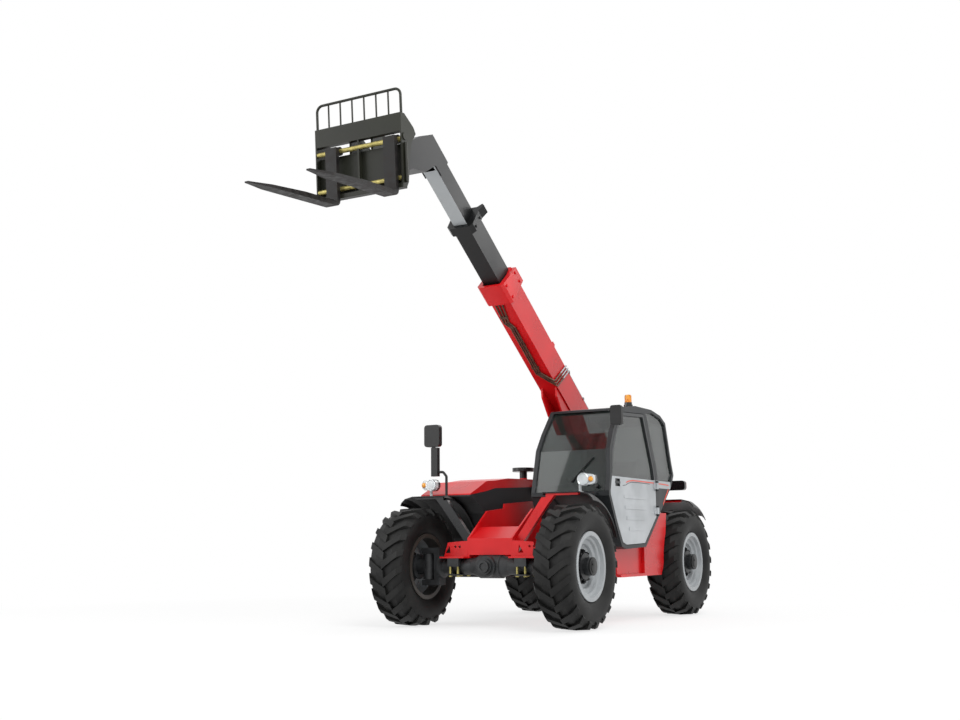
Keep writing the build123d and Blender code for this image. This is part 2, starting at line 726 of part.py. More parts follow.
lid_seam = [(x, z + seat_fit) for x, z in seam]
hood_outline = lid_seam + [(1190, 1353), (848, 1497), (646, 1511), (367, 1545), (-197, 1558), (-850, 1530),
                           (-950, 1480)]
intake_x, intake_y, intake_z = -620, -700, 1700
with BuildPart() as engine_hood:
    plate(side_plane, hood_outline, bay_y0, bay_y1)
    hollow(hood_outline, hood_wall, bay_y0 + hood_wall, bay_y1 - hood_wall, -2 * hood_wall)
    for station in hood_hinge_stations:
        with Locations(Location((station, bay_y1 + 18, hood_hinge_z), (0, 90, 0))):
            Cylinder(14, 70 - 2 * seat_fit)
        block(side_plane, (station - 34, hood_hinge_z), (station + 34, hood_hinge_z + 14), bay_y1 - 1, bay_y1 + 22)
        with Locations(Location((station, bay_y1 + 18, hood_hinge_z), (0, 90, 0))):
            Cylinder(7 + pin_fit, 80, mode=Mode.SUBTRACT)
    # Air intake on the lid: a stem and its flat cap
    with Locations((intake_x, intake_y, (1535 + intake_z) / 2)):
        Cylinder(45, intake_z - 1535)
    with Locations((intake_x, intake_y, intake_z)):
        Cylinder(130, 44)
nodes["engine_hood"] = engine_hood.part

with BuildPart() as engine_block:
    with Locations((0, -620, 900)):
        Box(900, 420, 480)
    foot_reach = 415 - frame_half - seat_fit
    for foot_x in (-350, 350):
        with Locations((foot_x, -415 + foot_reach / 2, 760)):
            Box(90, foot_reach, 60)
nodes["engine_block"] = engine_block.part

# --- Boom --------------------------------------------------------------------------------

ear_profile = [(2300, 1 - outer_height / 2), (2230, -240), (2000, lift_v - 12), (lift_u + 60, lift_v - 55),
               (lift_u - 60, lift_v - 55), (lift_u - 200, 1 - outer_height / 2)]
collar_top, collar_bottom = 182, -192
with BuildPart() as boom_outer:
    box_section(outer_tail, outer_end, outer_width, outer_height)
    # The collar leans forward at its foot and has chamfered lower edges
    plate(boom_plane, [(outer_end - 200, collar_bottom), (outer_end + 70, collar_bottom),
                       (outer_end - 25, collar_top), (outer_end - 225, collar_top)], -collar_half, collar_half)
    for side in (1, -1):
        with BuildSketch(boom_section(outer_end - 300)):
            with BuildLine():
                Polyline((side * collar_half, collar_bottom + collar_chamfer), (side * collar_half, collar_bottom),
                         (side * (collar_half - collar_chamfer), collar_bottom), close=True)
            make_face()
        extrude(amount=500, mode=Mode.SUBTRACT)
    box_section(outer_tail + outer_wall, outer_end + 100, outer_width - 2 * outer_wall,
                outer_height - 2 * outer_wall, mode=Mode.SUBTRACT)
    # Slide pads round the section inside, at the mouth
    box_section(outer_end - pad_length, outer_end - 2, outer_width - 2 * outer_wall + 2,
                outer_height - 2 * outer_wall + 2)
    box_section(outer_end - pad_length - 1, outer_end, middle_width + 2 * pad_fit, middle_height + 2 * pad_fit,
                mode=Mode.SUBTRACT)
    # Tail boss on the pivot pin, and the ears that hold the lift cylinder
    boss_half = frame_half - frame_plate - 5
    cross_pin(boom_plane, (0, 0), pivot_pin_radius + 35, -boss_half, boss_half)
    cross_pin(boom_plane, (0, 0), pivot_pin_radius + pin_fit, -frame_half, frame_half, mode=Mode.SUBTRACT)
    for low, high, boss in ((ear_inner, ear_outer, ear_outer), (-ear_outer, -ear_inner, -ear_outer - 12)):
        plate(boom_plane, ear_profile, low, high)
        cross_pin(boom_plane, (lift_u, lift_v), lift_pin_radius + 14, boss, boss + 12)
    # Lifting eye on the top edge
    plate(boom_plane, [(2590, 164), (2680, 164), (2660, 206), (2610, 206)], 92, 106)
nodes["boom_outer"] = boom_outer.part

collar_line = [(112, -150), (150, -112), (150, 84), (186, 168), (162, 190), (112, 150)]
with BuildPart() as boom_middle:
    box_section(middle_start, middle_end, middle_width, middle_height)
    with BuildSketch(boom_section(middle_end - middle_collar)):
        with BuildLine():
            Polyline(*collar_line, *[(-y, v) for y, v in reversed(collar_line)], close=True)
        make_face()
    extrude(amount=middle_collar)
    box_section(middle_start, middle_start + pad_length, outer_width - 2 * outer_wall - 2 * pad_fit,
                outer_height - 2 * outer_wall - 2 * pad_fit)
    box_section(middle_start - 1, middle_end + 1, middle_width - 2 * middle_wall, middle_height - 2 * middle_wall,
                mode=Mode.SUBTRACT)
    box_section(middle_end - pad_length, middle_end - 2, middle_width - 2 * middle_wall + 2,
                middle_height - 2 * middle_wall + 2)
    box_section(middle_end - pad_length - 1, middle_end, inner_width + 2 * pad_fit, inner_height + 2 * pad_fit,
                mode=Mode.SUBTRACT)
nodes["boom_middle"] = boom_middle.part

inner_room = inner_width / 2 - inner_wall
with BuildPart() as boom_inner:
    box_section(inner_start, inner_end, inner_width, inner_height)
    box_section(inner_start, inner_start + pad_length, middle_width - 2 * middle_wall - 2 * pad_fit,
                middle_height - 2 * middle_wall - 2 * pad_fit)
    box_section(inner_start - 1, inner_end + 1, 2 * inner_room, inner_height - 2 * inner_wall,
                mode=Mode.SUBTRACT)
    # Mouth in the underside for the tilt cylinder, and its pin
    block(boom_plane, (inner_end - 64, -inner_height / 2 - 1), (inner_end + 1, 1 - inner_height / 2 + inner_wall),
          -tilt_bore - barrel_wall - 6, tilt_bore + barrel_wall + 6, mode=Mode.SUBTRACT)
    cross_pin(boom_plane, (tilt_base_u, tilt_base_v), tilt_base_pin, -inner_room - 1, inner_room + 1)
nodes["boom_inner"] = boom_inner.part

head_start = 5325
head_top = inner_height / 2 + 1
head_crown = [(5673, head_top), (5814, -107)]
head_outline = [(head_start, -100), (head_start, head_top), *head_crown, (6020, -590), (6000, -700),
                (5910, -742), (5830, -702), (5701, -452), (5539, -307), (5456, -104)]
head_in = inner_width / 2
head_out = head_in + head_plate
with BuildPart() as boom_head:
    for low, high in ((head_in, head_out), (-head_out, -head_in)):
        plate(boom_plane, head_outline, low, high)
    # Covers between the side plates, over the top and along the underside
    web = head_in + 1
    plate(boom_plane, [(inner_end + 1, head_top), *head_crown, (5908, -328), (5898, -332), (5805, -110),
                       (5667, head_top - cover_plate), (inner_end + 1, head_top - cover_plate)], -web, web)
    plate(boom_plane, [(inner_end + 8, -120), (5539, -307), (5701, -452), (5790, -622), (5800, -616),
                       (5710, -446), (5546, -299), (inner_end + 20, -112)], -web, web)
    cross_pin(boom_plane, (tilt_u, tilt_v), tilt_pin_radius + pin_fit, -200, 200, mode=Mode.SUBTRACT)
nodes["boom_head"] = boom_head.part

# The pipes stand off from the section, so that their bends clear its edges
pipe_reach = 13.5
pipe_low = -outer_height / 2 - pipe_reach
pipe_side = outer_width / 2 + pipe_reach
pipe_bend = 20
with BuildPart() as boom_pipes:
    for lane in (-1, 0, 1):
        shift = lane * pipe_gap
        corner_u = 2376 + 1.667 * shift
        route = [
            (outer_end - 205, -20 + 1.6 * shift, pipe_low), (3370, -50 + 1.1 * shift, pipe_low),
            (3290, -8 + shift, pipe_low), (2567 + 0.333 * shift, -16 + shift, pipe_low),
            (corner_u, pipe_side, pipe_low), (corner_u - 130, pipe_side, -pipe_low),
            (corner_u - 200, 78 - 0.9 * shift, -pipe_low), (640, 78 - 0.9 * shift, -pipe_low),
        ]
        tube([tuple(boom_plane(0).from_local_coords((u, v, -y))) for u, y, v in route], pipe_radius, pipe_bend)
    # Clamps across the three pipes, below, and above near the tail
    seat_v = outer_height / 2 + seat_fit
    for clamp_u, clamp_y, low, high in ((3450, -45, pipe_low - 6, -seat_v), (2650, -16, pipe_low - 6, -seat_v),
                                        (1720, 78, seat_v, 6 - pipe_low), (1100, 78, seat_v, 6 - pipe_low)):
        block(boom_plane, (clamp_u - 14, low), (clamp_u + 14, high), clamp_y - 46, clamp_y + 46)
nodes["boom_pipes"] = boom_pipes.part

# --- Carriage and forks ------------------------------------------------------------------

link = radians(boom_angle - fork_angle + crank_angle)
crank_f, crank_h = crank_radius * cos(link), crank_radius * sin(link)
crank_in, crank_out = tilt_eye_half + 6, tilt_eye_half + 24
coupler_in, coupler_out = head_out + 10, head_out + 32
beam_low, beam_high = 140, 306
cheek_inner = carriage_half - carriage_plate
with BuildPart() as carriage:
    cross_pin(carriage_plane, (0, 0), tilt_pin_radius, -coupler_out - 5, coupler_out + 5)
    cross_pin(carriage_plane, (0, 0), 48, 5 - head_in, head_in - 5)
    for low, high in ((crank_in, crank_out), (-crank_out, -crank_in)):
        plate(carriage_plane, [(-44, -10), (crank_f - 40, crank_h - 10), (crank_f - 20, crank_h + 38),
                               (crank_f + 30, crank_h + 38), (44, 10)], low, high)
    # Coupler plates from the tilt pin to the carriage's back
    coupler = [(-60, -60), (60, -70), (385, lower_shaft_h - 60), (396, lower_shaft_h - 60), (396, 280),
               (330, 280), (-40, 70)]
    for low, high in ((coupler_in, coupler_out), (-coupler_out, -coupler_in)):
        plate(carriage_plane, coupler, low, high)
    # Top beam, bottom box, back plate with two round holes, and the rib in the middle
    block(carriage_plane, (392, beam_low), (450, beam_high), -carriage_half, carriage_half)
    block(carriage_plane, (385, lower_shaft_h - 90), (fork_back - seat_fit, lower_shaft_h - 50),
          1 - carriage_half, carriage_half - 1)
    block(carriage_plane, (380, lower_shaft_h - 60), (396, 40), 1 - carriage_half, carriage_half - 1)
    block(carriage_plane, (392, lower_shaft_h - 60), (446, beam_low + 1), -9, 9)
    # Cheeks with the round end bosses and tubes outside them
    cheek = [(252, 212), (391, beam_high), (450, beam_high), (452, -353), (392, -353), (357, -297), (330, -80),
             (285, 76), (217, 160)]
    for low, high in ((cheek_inner, carriage_half), (-carriage_half, -cheek_inner)):
        plate(carriage_plane, cheek, low, high)
    for y in (cheek_inner, -carriage_half - 8):
        cross_pin(carriage_plane, (400, 100), 34, y, y + carriage_plate + 8)
    for y in (carriage_half + 12, -carriage_half - 12):
        post(406, y, -308, 42, 15)
    for height in (upper_shaft_h, lower_shaft_h):
        cross_pin(carriage_plane, (shaft_f, height), shaft_radius + pin_fit, -coupler_out - 20, coupler_out + 20,
                  mode=Mode.SUBTRACT)
nodes["carriage"] = carriage.part

with BuildPart() as fork_shafts:
    shaft_half = cheek_inner - seat_fit
    for height in (upper_shaft_h, lower_shaft_h):
        cross_pin(carriage_plane, (shaft_f, height), shaft_radius, -shaft_half, shaft_half)
nodes["fork_shafts"] = fork_shafts.part

with BuildPart() as forks:
    heel = 60
    tip_f = fork_back + fork_length
    for fork_y in (fork_left_y, fork_right_y):
        low, high = fork_y - fork_width / 2, fork_y + fork_width / 2
        # The arm's side view with its rounded heel
        with BuildSketch(carriage_plane(high)):
            with BuildLine():
                Polyline((fork_back, fork_bottom + heel), (fork_back, fork_top),
                         (fork_back + fork_thickness, fork_top),
                         (fork_back + fork_thickness, fork_bottom + fork_thickness),
                         (fork_back + 500, fork_bottom + fork_thickness), (tip_f, fork_bottom + 12),
                         (tip_f, fork_bottom), (fork_back + heel, fork_bottom))
                RadiusArc((fork_back + heel, fork_bottom), (fork_back, fork_bottom + heel), heel)
            make_face()
        extrude(amount=fork_width)
        # Tapered tip, seen from above
        for side in (1, -1):
            edge_y = fork_y + side * fork_width / 2
            with BuildSketch(Plane(origin=carriage_plane(edge_y).from_local_coords((tip_f, fork_bottom - 10, 0)),
                                   x_dir=carriage_plane(0).x_dir, z_dir=carriage_plane(0).y_dir)):
                with BuildLine():
                    Polyline((-260, side), (1, side), (1, -side * 42), (-60, -side * 34), close=True)
                make_face()
            extrude(amount=90, mode=Mode.SUBTRACT)
        cross_pin(carriage_plane, (shaft_f, upper_shaft_h), shaft_radius + 18, low, high)
        cross_pin(carriage_plane, (shaft_f, upper_shaft_h), shaft_radius + pin_fit, low, high, mode=Mode.SUBTRACT)
nodes["forks"] = forks.part

with BuildPart() as backrest:
    rest_tube = 12
    rest_bar = 8
    rest_top = 530
    rest_f = 423
    rest_corner = 60
    rest_low = beam_high + seat_fit
    rest_half = carriage_half - rest_tube
    # A bent tube round the top, seen from the front, and the bars inside it
    with BuildLine(carriage_front(rest_f)) as bend:
        FilletPolyline((rest_half, rest_low), (rest_half, rest_top), (-rest_half, rest_top),
                       (-rest_half, rest_low), radius=rest_corner)
    foot = carriage_plane(rest_half).from_local_coords((rest_f, rest_low, 0))
    with BuildSketch(Plane(origin=foot, z_dir=carriage_plane(0).y_dir)):
        Circle(rest_tube)
    sweep(path=bend.line)
    for number in range(6):
        post(rest_f, (number + 1) * 2 * rest_half / 7 - rest_half, rest_low, rest_top, rest_bar)
nodes["backrest"] = backrest.part


# --- Cylinders ---------------------------------------------------------------------------

def cylinder_pair(base, eye, bore, rod, base_pin, base_half, eye_half, closed):
    """A barrel from its base pin and a rod up to its eye, lying in the middle plane."""
    gland, piston, eye_wall, overlap = 40, 50, 24, 60
    start = Vector(base[0], 0, base[1])
    span = Vector(eye[0], 0, eye[1]) - start
    along = span.normalized()
    with BuildPart() as barrel:
        # Wall, bore and gland, as radii and places along the barrel
        for radius, low, high, mode in (
            (bore + barrel_wall, base_pin + 8, closed, Mode.ADD),
            (bore, base_pin + 30, closed + 1, Mode.SUBTRACT),
            (bore + 1, closed - gland, closed, Mode.ADD),
            (rod + pin_fit, closed - gland - 1, closed + 1, Mode.SUBTRACT),
        ):
            with BuildSketch(Plane(origin=start + along * low, z_dir=along), mode=Mode.PRIVATE) as ring:
                Circle(radius)
            extrude(ring.sketch, amount=high - low, mode=mode)
        cross_pin(side_plane, base, base_pin + eye_wall, -base_half, base_half)
        cross_pin(side_plane, base, base_pin + pin_fit, -base_half - 1, base_half + 1, mode=Mode.SUBTRACT)
    rod_start = span.length - closed + overlap
    with BuildPart() as ram:
        for radius, length in ((rod, closed - overlap - base_pin), (bore - pin_fit, piston)):
            with BuildSketch(Plane(origin=start + along * rod_start, z_dir=along), mode=Mode.PRIVATE) as disc:
                Circle(radius)
            extrude(disc.sketch, amount=length)
        cross_pin(side_plane, eye, base_pin + eye_wall, -eye_half, eye_half)
        cross_pin(side_plane, eye, base_pin + pin_fit, -eye_half - 1, eye_half + 1, mode=Mode.SUBTRACT)
    return barrel.part, ram.part


lift_base = (lift_base_x, lift_base_z)
lift_eye = boom_point(lift_u, lift_v)
lift_closed = 1180
tilt_base = boom_point(tilt_base_u, tilt_base_v)
tilt_eye = boom_point(tilt_u + crank_radius * cos(radians(crank_angle)),
                      tilt_v + crank_radius * sin(radians(crank_angle)))
tilt_closed = 620
nodes["lift_barrel"], nodes["lift_rod"] = cylinder_pair(
    lift_base, lift_eye, lift_bore, lift_rod_radius, lift_pin_radius, 56, lift_eye_half, lift_closed)
nodes["tilt_barrel"], nodes["tilt_rod"] = cylinder_pair(
    tilt_base, tilt_eye, tilt_bore, tilt_rod_radius, tilt_base_pin, tilt_eye_half, tilt_eye_half, tilt_closed)

# --- Mirrors, lamps and beacon -----------------------------------------------------------

mirror_x, mirror_y = 1265, -621
mirror_head_y = -757
lamp_x, lamp_z = 1262, 1448
with BuildPart() as mirrors:
    foot = on_fender(front_x, mirror_x, mirror_y)
    with BuildSketch(foot):
        Rectangle(90, 90)
    extrude(amount=8)
    tube([(mirror_x, mirror_y, foot.origin.Z + 10), (mirror_x, mirror_y, 1538), (mirror_x, mirror_y - 40, 1583),
          (mirror_x, mirror_head_y, 1585)], 14, 30)
    with Locations((mirror_x, mirror_head_y, 1692)):
        Box(52, 78, 304)
    with Locations((mirror_x, mirror_head_y - 20, 1849)):
        Box(26, 34, 24)
    with BuildSketch(Plane.YZ.offset(mirror_x - 34)):
        with Locations((mirror_head_y - 30, 1970)):
            RectangleRounded(186, 234, 34)
    extrude(amount=62)
    # The cab's mirror on its arm from the front pillar
    tube([(500, 970, 2126), (640, 1035, 2134), (640, 1066, 2134)], 13, 20)
    with BuildSketch(Plane.YZ.offset(616)):
        with Locations((1066, 2138)):
            RectangleRounded(126, 204, 24)
    extrude(amount=46)
    add(cab_clear, mode=Mode.SUBTRACT)
nodes["mirrors"] = mirrors.part

with BuildPart() as headlamps:
    # Side, the post's distance from the middle and the lamp's distance
    for side, post_y, lamp_y in ((1, 925, 1004), (-1, 812, 812)):
        foot = on_fender(front_x, lamp_x, side * post_y)
        with BuildSketch(foot):
            Rectangle(80, 70)
        extrude(amount=8)
        tube([(lamp_x, side * post_y, foot.origin.Z + 10), (lamp_x, side * post_y, lamp_z)], 15)
        # The round head lamp on the inner side and the turn lamp outside it
        with BuildSketch(Plane.YZ.offset(lamp_x - 45)):
            with Locations((side * (lamp_y - 25), lamp_z)):
                Circle(64)
            with Locations((side * (lamp_y + 22), lamp_z)):
                RectangleRounded(130, 104, 40)
        extrude(amount=88)
        with BuildSketch(Plane.YZ.offset(lamp_x + 43)):
            with Locations((side * (lamp_y - 25), lamp_z)):
                Circle(56)
        extrude(amount=10)
        with BuildSketch(Plane.YZ.offset(lamp_x + 43)):
            with Locations((side * (lamp_y + 60), lamp_z)):
                Circle(28)
        extrude(amount=8)
nodes["headlamps"] = headlamps.part

beacon_x, beacon_y, roof_z = -75, 900, 2300
with BuildPart() as beacon:
    # Base and lens, as radii and heights above the roof
    for radius, low, high in ((50, seat_fit, 22), (42, 22, 48), (38, 48, 124)):
        with Locations((beacon_x, beacon_y, roof_z + (low + high) / 2)):
            Cylinder(radius, high - low)
    with Locations((beacon_x, beacon_y, roof_z + 122)):
        Cylinder(30, 20)
nodes["beacon"] = beacon.part

rear_lamp_x, rear_lamp_z = -1700, 1505
with BuildPart() as rear_lamps:
    for side in (1, -1):
        with Locations((-2260 - seat_fit - 5, side * 400, 1020)):
            Box(10, 120, 60)
        foot = on_fender(rear_x, rear_lamp_x, side * 660)
        with BuildSketch(foot):
            Rectangle(80, 70)
        extrude(amount=8)
        tube([(rear_lamp_x, side * 660, foot.origin.Z + 10), (rear_lamp_x, side * 660, rear_lamp_z)], 15)
        with BuildSketch(Plane.YZ.offset(rear_lamp_x - 32)):
            with Locations((side * 785, rear_lamp_z)):
                RectangleRounded(290, 115, 36)
        extrude(amount=64)
nodes["rear_lamps"] = rear_lamps.part

# --- Origin and files --------------------------------------------------------------------

# The origin is the middle of the length, from the rear hitch to the fork tips.
tip = carriage_plane(0).from_local_coords(Vector(tip_f, fork_bottom, 0))
origin_x = (rear_end_x + tip.X) / 2
for name, shape in nodes.items():
    placed = Pos(-origin_x, 0, 0) * shape
    placed.label = name
    export_step(placed, f"parts/{name}.step")
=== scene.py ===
import json
import math

import bpy
from mathutils import Matrix, Vector


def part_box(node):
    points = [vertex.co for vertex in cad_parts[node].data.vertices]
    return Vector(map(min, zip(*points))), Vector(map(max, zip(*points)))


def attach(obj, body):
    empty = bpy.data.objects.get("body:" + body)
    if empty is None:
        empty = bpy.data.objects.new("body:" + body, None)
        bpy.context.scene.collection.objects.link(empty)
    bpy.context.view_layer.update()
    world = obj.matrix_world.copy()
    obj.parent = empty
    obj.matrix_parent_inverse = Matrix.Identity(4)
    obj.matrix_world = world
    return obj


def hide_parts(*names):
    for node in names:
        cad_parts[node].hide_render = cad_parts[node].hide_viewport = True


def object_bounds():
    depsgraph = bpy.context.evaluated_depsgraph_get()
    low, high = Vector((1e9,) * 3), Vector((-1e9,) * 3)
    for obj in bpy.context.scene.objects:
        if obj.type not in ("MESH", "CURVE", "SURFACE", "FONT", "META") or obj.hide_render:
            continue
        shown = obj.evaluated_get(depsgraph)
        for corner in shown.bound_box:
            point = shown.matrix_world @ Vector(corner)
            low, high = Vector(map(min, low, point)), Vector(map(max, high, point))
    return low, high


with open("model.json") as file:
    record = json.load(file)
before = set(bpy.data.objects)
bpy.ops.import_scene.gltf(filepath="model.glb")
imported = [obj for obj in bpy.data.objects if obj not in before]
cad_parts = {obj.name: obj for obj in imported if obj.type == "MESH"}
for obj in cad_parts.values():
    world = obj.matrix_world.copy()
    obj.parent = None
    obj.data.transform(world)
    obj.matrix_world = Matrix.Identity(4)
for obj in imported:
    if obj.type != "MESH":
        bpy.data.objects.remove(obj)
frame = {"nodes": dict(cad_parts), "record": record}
cad_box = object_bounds()


def middle(node):
    """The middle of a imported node's box, in metres in the frame."""
    low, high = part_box(node)
    return (Vector(low) + Vector(high)) / 2


# Places are worked out in millimetres from the middle of the wheelbase: +X forward, +Y left,
# +Z up, the ground at zero. The boom's own places are u along it and v above its centreline.
wheelbase_x = (middle("tyre_front_left").x + middle("tyre_rear_left").x) / 2
front_axle_x, rear_axle_x = 1405, -1405
pivot_x, pivot_z = -1901, 1358
boom_slope = math.radians(35.5)
above_boom = Vector((-math.sin(boom_slope), 0, math.cos(boom_slope)))


def at(x, y, z):
    """A place in metres in the frame, from millimetres on the machine."""
    return Vector((x / 1000 + wheelbase_x, y / 1000, z / 1000))


def on_boom(u, y, v):
    """A place on the boom in metres in the frame, from millimetres along and above it."""
    return at(pivot_x + u * math.cos(boom_slope) - v * math.sin(boom_slope), y,
              pivot_z + u * math.sin(boom_slope) + v * math.cos(boom_slope))


# A half space is the side of a plane that a direction points to, with one of the plane's points
def ahead_of(x):
    return (1, 0, 0), at(x, 0, 0)


def behind(x):
    return (-1, 0, 0), at(x, 0, 0)


def left_of(y):
    return (0, 1, 0), at(0, y, 0)


def right_of(y):
    return (0, -1, 0), at(0, y, 0)


def above(z):
    return (0, 0, 1), at(0, 0, z)


def below(z):
    return (0, 0, -1), at(0, 0, z)


# --- Colour and node helpers ---------------------------------------------------------------


def linear(hex_code, alpha=1.0):
    """An sRGB hex colour as linear RGBA."""
    channels = []
    for start in (1, 3, 5):
        value = int(hex_code[start:start + 2], 16) / 255
        channels.append(value / 12.92 if value <= 0.04045 else ((value + 0.055) / 1.055) ** 2.4)
    return (*channels, alpha)


def add_node(material, kind, settings=None, links=None):
    """Adds a node with its settings and the links into it, and returns it."""
    node = material.node_tree.nodes.new(kind)
    for name, value in (settings or {}).items():
        if isinstance(name, int) or name in node.inputs:
            node.inputs[name].default_value = value
        else:
            setattr(node, name, value)
    for name, (source, output) in (links or {}).items():
        material.node_tree.links.new(source.outputs[output], node.inputs[name])
    return node


def start_material(name, settings):
    """A new material with a Principled shader and the object's own coordinates."""
    material = bpy.data.materials.new(name)
    material.use_nodes = True
    material.node_tree.nodes.clear()
    shader = add_node(material, "ShaderNodeBsdfPrincipled", settings)
    add_node(material, "ShaderNodeOutputMaterial", links={"Surface": (shader, "BSDF")})
    place = add_node(material, "ShaderNodeTexCoord")
    return material, shader, place


def grain(material, place, size_mm, detail=3.0):
    """A noise whose blotches are about size_mm across."""
    return add_node(material, "ShaderNodeTexNoise", {"Scale": 1000 / size_mm, "Detail": detail},
                    {"Vector": (place, "Object")})


def tint(material, shader, mask, low_hex, high_hex, low=0.35, high=0.65):
    """Colours the shader between two colours by a mask."""
    ramp = add_node(material, "ShaderNodeMapRange", {1: low, 2: high}, {"Value": (mask, 0)})
    mix = add_node(material, "ShaderNodeMix",
                   {"data_type": "RGBA", 6: linear(low_hex), 7: linear(high_hex)}, {0: (ramp, 0)})
    material.node_tree.links.new(mix.outputs[2], shader.inputs["Base Color"])


def roughen(material, shader, mask, low, high):
    """Spreads the shader's roughness between two values by a mask."""
    span = add_node(material, "ShaderNodeMapRange", {1: 0.3, 2: 0.7, 3: low, 4: high},
                    {"Value": (mask, 0)})
    material.node_tree.links.new(span.outputs[0], shader.inputs["Roughness"])


def bump(material, shader, mask, depth_mm, strength=0.5):
    """Raises the surface by a mask."""
    relief = add_node(material, "ShaderNodeBump",
                      {"Strength": strength, "Distance": depth_mm / 1000}, {"Height": (mask, 0)})
    material.node_tree.links.new(relief.outputs[0], shader.inputs["Normal"])


def beyond(material, place, direction, through):
    """A mask that is 1 in a half space, and 0 outside it."""
    direction = Vector(direction)
    reach = add_node(material, "ShaderNodeVectorMath", {"operation": "DOT_PRODUCT", 1: direction},
                     {0: (place, "Object")})
    return add_node(material, "ShaderNodeMath",
                    {"operation": "GREATER_THAN", 1: direction.dot(Vector(through))}, {0: (reach, 1)})


def repaint(material, shader, place, hex_code, *half_spaces):
    """Lays another colour over the shader's own, where some half spaces all overlap."""
    mask = beyond(material, place, *half_spaces[0])
    for half_space in half_spaces[1:]:
        mask = add_node(material, "ShaderNodeMath", {"operation": "MULTIPLY"},
                        {0: (mask, 0), 1: (beyond(material, place, *half_space), 0)})
    under = shader.inputs["Base Color"].links[0].from_socket
    mix = add_node(material, "ShaderNodeMix", {"data_type": "RGBA", 7: linear(hex_code)},
                   {0: (mask, 0)})
    material.node_tree.links.new(under, mix.inputs[6])
    material.node_tree.links.new(mix.outputs[2], shader.inputs["Base Color"])


def repainted(material, hex_code, *half_spaces):
    """Lays another colour over part of a finished material, and gives the material back."""
    nodes = material.node_tree.nodes
    shader = next(node for node in nodes if node.type == "BSDF_PRINCIPLED")
    place = next(node for node in nodes if node.type == "TEX_COORD")
    repaint(material, shader, place, hex_code, *half_spaces)
    return material


# --- Materials -----------------------------------------------------------------------------


def painted_steel(name, colours, roughness, peel_mm=9.0, peel_depth_mm=0.5, coat=0.0, areas=()):
    """Sprayed two-pack enamel on steel plate: an even colour, slight orange peel, cloudy gloss."""
    material, shader, place = start_material(name, {
        "Roughness": roughness, "Coat Weight": coat, "Coat Roughness": 0.12,
        "Specular IOR Level": 0.35})
    cloud = grain(material, place, 420, 2.0)
    tint(material, shader, cloud, *colours)
    roughen(material, shader, cloud, roughness - 0.05, roughness + 0.08)
    bump(material, shader, grain(material, place, peel_mm, 1.0), peel_depth_mm, 0.12)
    for hex_code, *half_spaces in areas:
        repaint(material, shader, place, hex_code, *half_spaces)
    return material


# Each pair holds the two close shades that the enamel's cloudiness runs between
red_shades, red_gloss, red_coat = ("#C00C12", "#D0151A"), 0.3, 0.12
black_shades = ("#0A0B0C", "#121314")
grey_shades = ("#1E2022", "#292B2D")
satin_black, window_grey = "#17181A", "#2B2D2F"
powder_grit_mm, powder_depth_mm = 4.0, 0.4
red_enamel = painted_steel("red_enamel_paint", red_shades, red_gloss, coat=red_coat)
black_enamel = painted_steel("black_enamel_paint", black_shades, 0.36)
olive_enamel = painted_steel("olive_black_enamel_paint", ("#17180F", "#202219"), 0.48)
grey_enamel = painted_steel("dark_grey_powder_coat", grey_shades, 0.5, powder_grit_mm, powder_depth_mm)


def forged_fork_steel():
    """Hot-forged fork blades, painted black: rubbed brownish and duller where loads slide."""
    material, shader, place = start_material("forged_fork_steel", {
        "Roughness": 0.55, "Specular IOR Level": 0.35})
    scuff = grain(material, place, 55, 6.0)
    tint(material, shader, scuff, "#0E0D0D", "#221D1B", 0.4, 0.75)
    roughen(material, shader, scuff, 0.42, 0.68)
    bump(material, shader, grain(material, place, 7, 3.0), 0.6, 0.25)
    return material


def cast_steel():
    """Sand-cast axle housings under black primer: grainy and dull."""
    material, shader, place = start_material("cast_steel_primed_black", {"Roughness": 0.55})
    tint(material, shader, grain(material, place, 90, 4.0), "#141516", "#26282A")
    bump(material, shader, grain(material, place, 3, 2.0), 0.8, 0.3)
    return material


def tyre_rubber():
    """Vulcanised carbon-black rubber: matt, a little dusty between the lugs."""
    material, shader, place = start_material("vulcanised_rubber", {
        "Roughness": 0.6, "Specular IOR Level": 0.3})
    tint(material, shader, grain(material, place, 160, 5.0), "#0B0B0B", "#191918")
    bump(material, shader, grain(material, place, 6, 3.0), 0.8, 0.2)
    return material


def moulded_polyethylene():
    """Black moulded plastic fenders and housings: even, with a fine leather-like grain."""
    material, shader, place = start_material("moulded_polyethylene_black", {
        "Roughness": 0.42, "Specular IOR Level": 0.4})
    tint(material, shader, grain(material, place, 200, 2.0), "#090909", "#121213")
    bump(material, shader, grain(material, place, 2.5, 1.0), 0.35, 0.25)
    return material


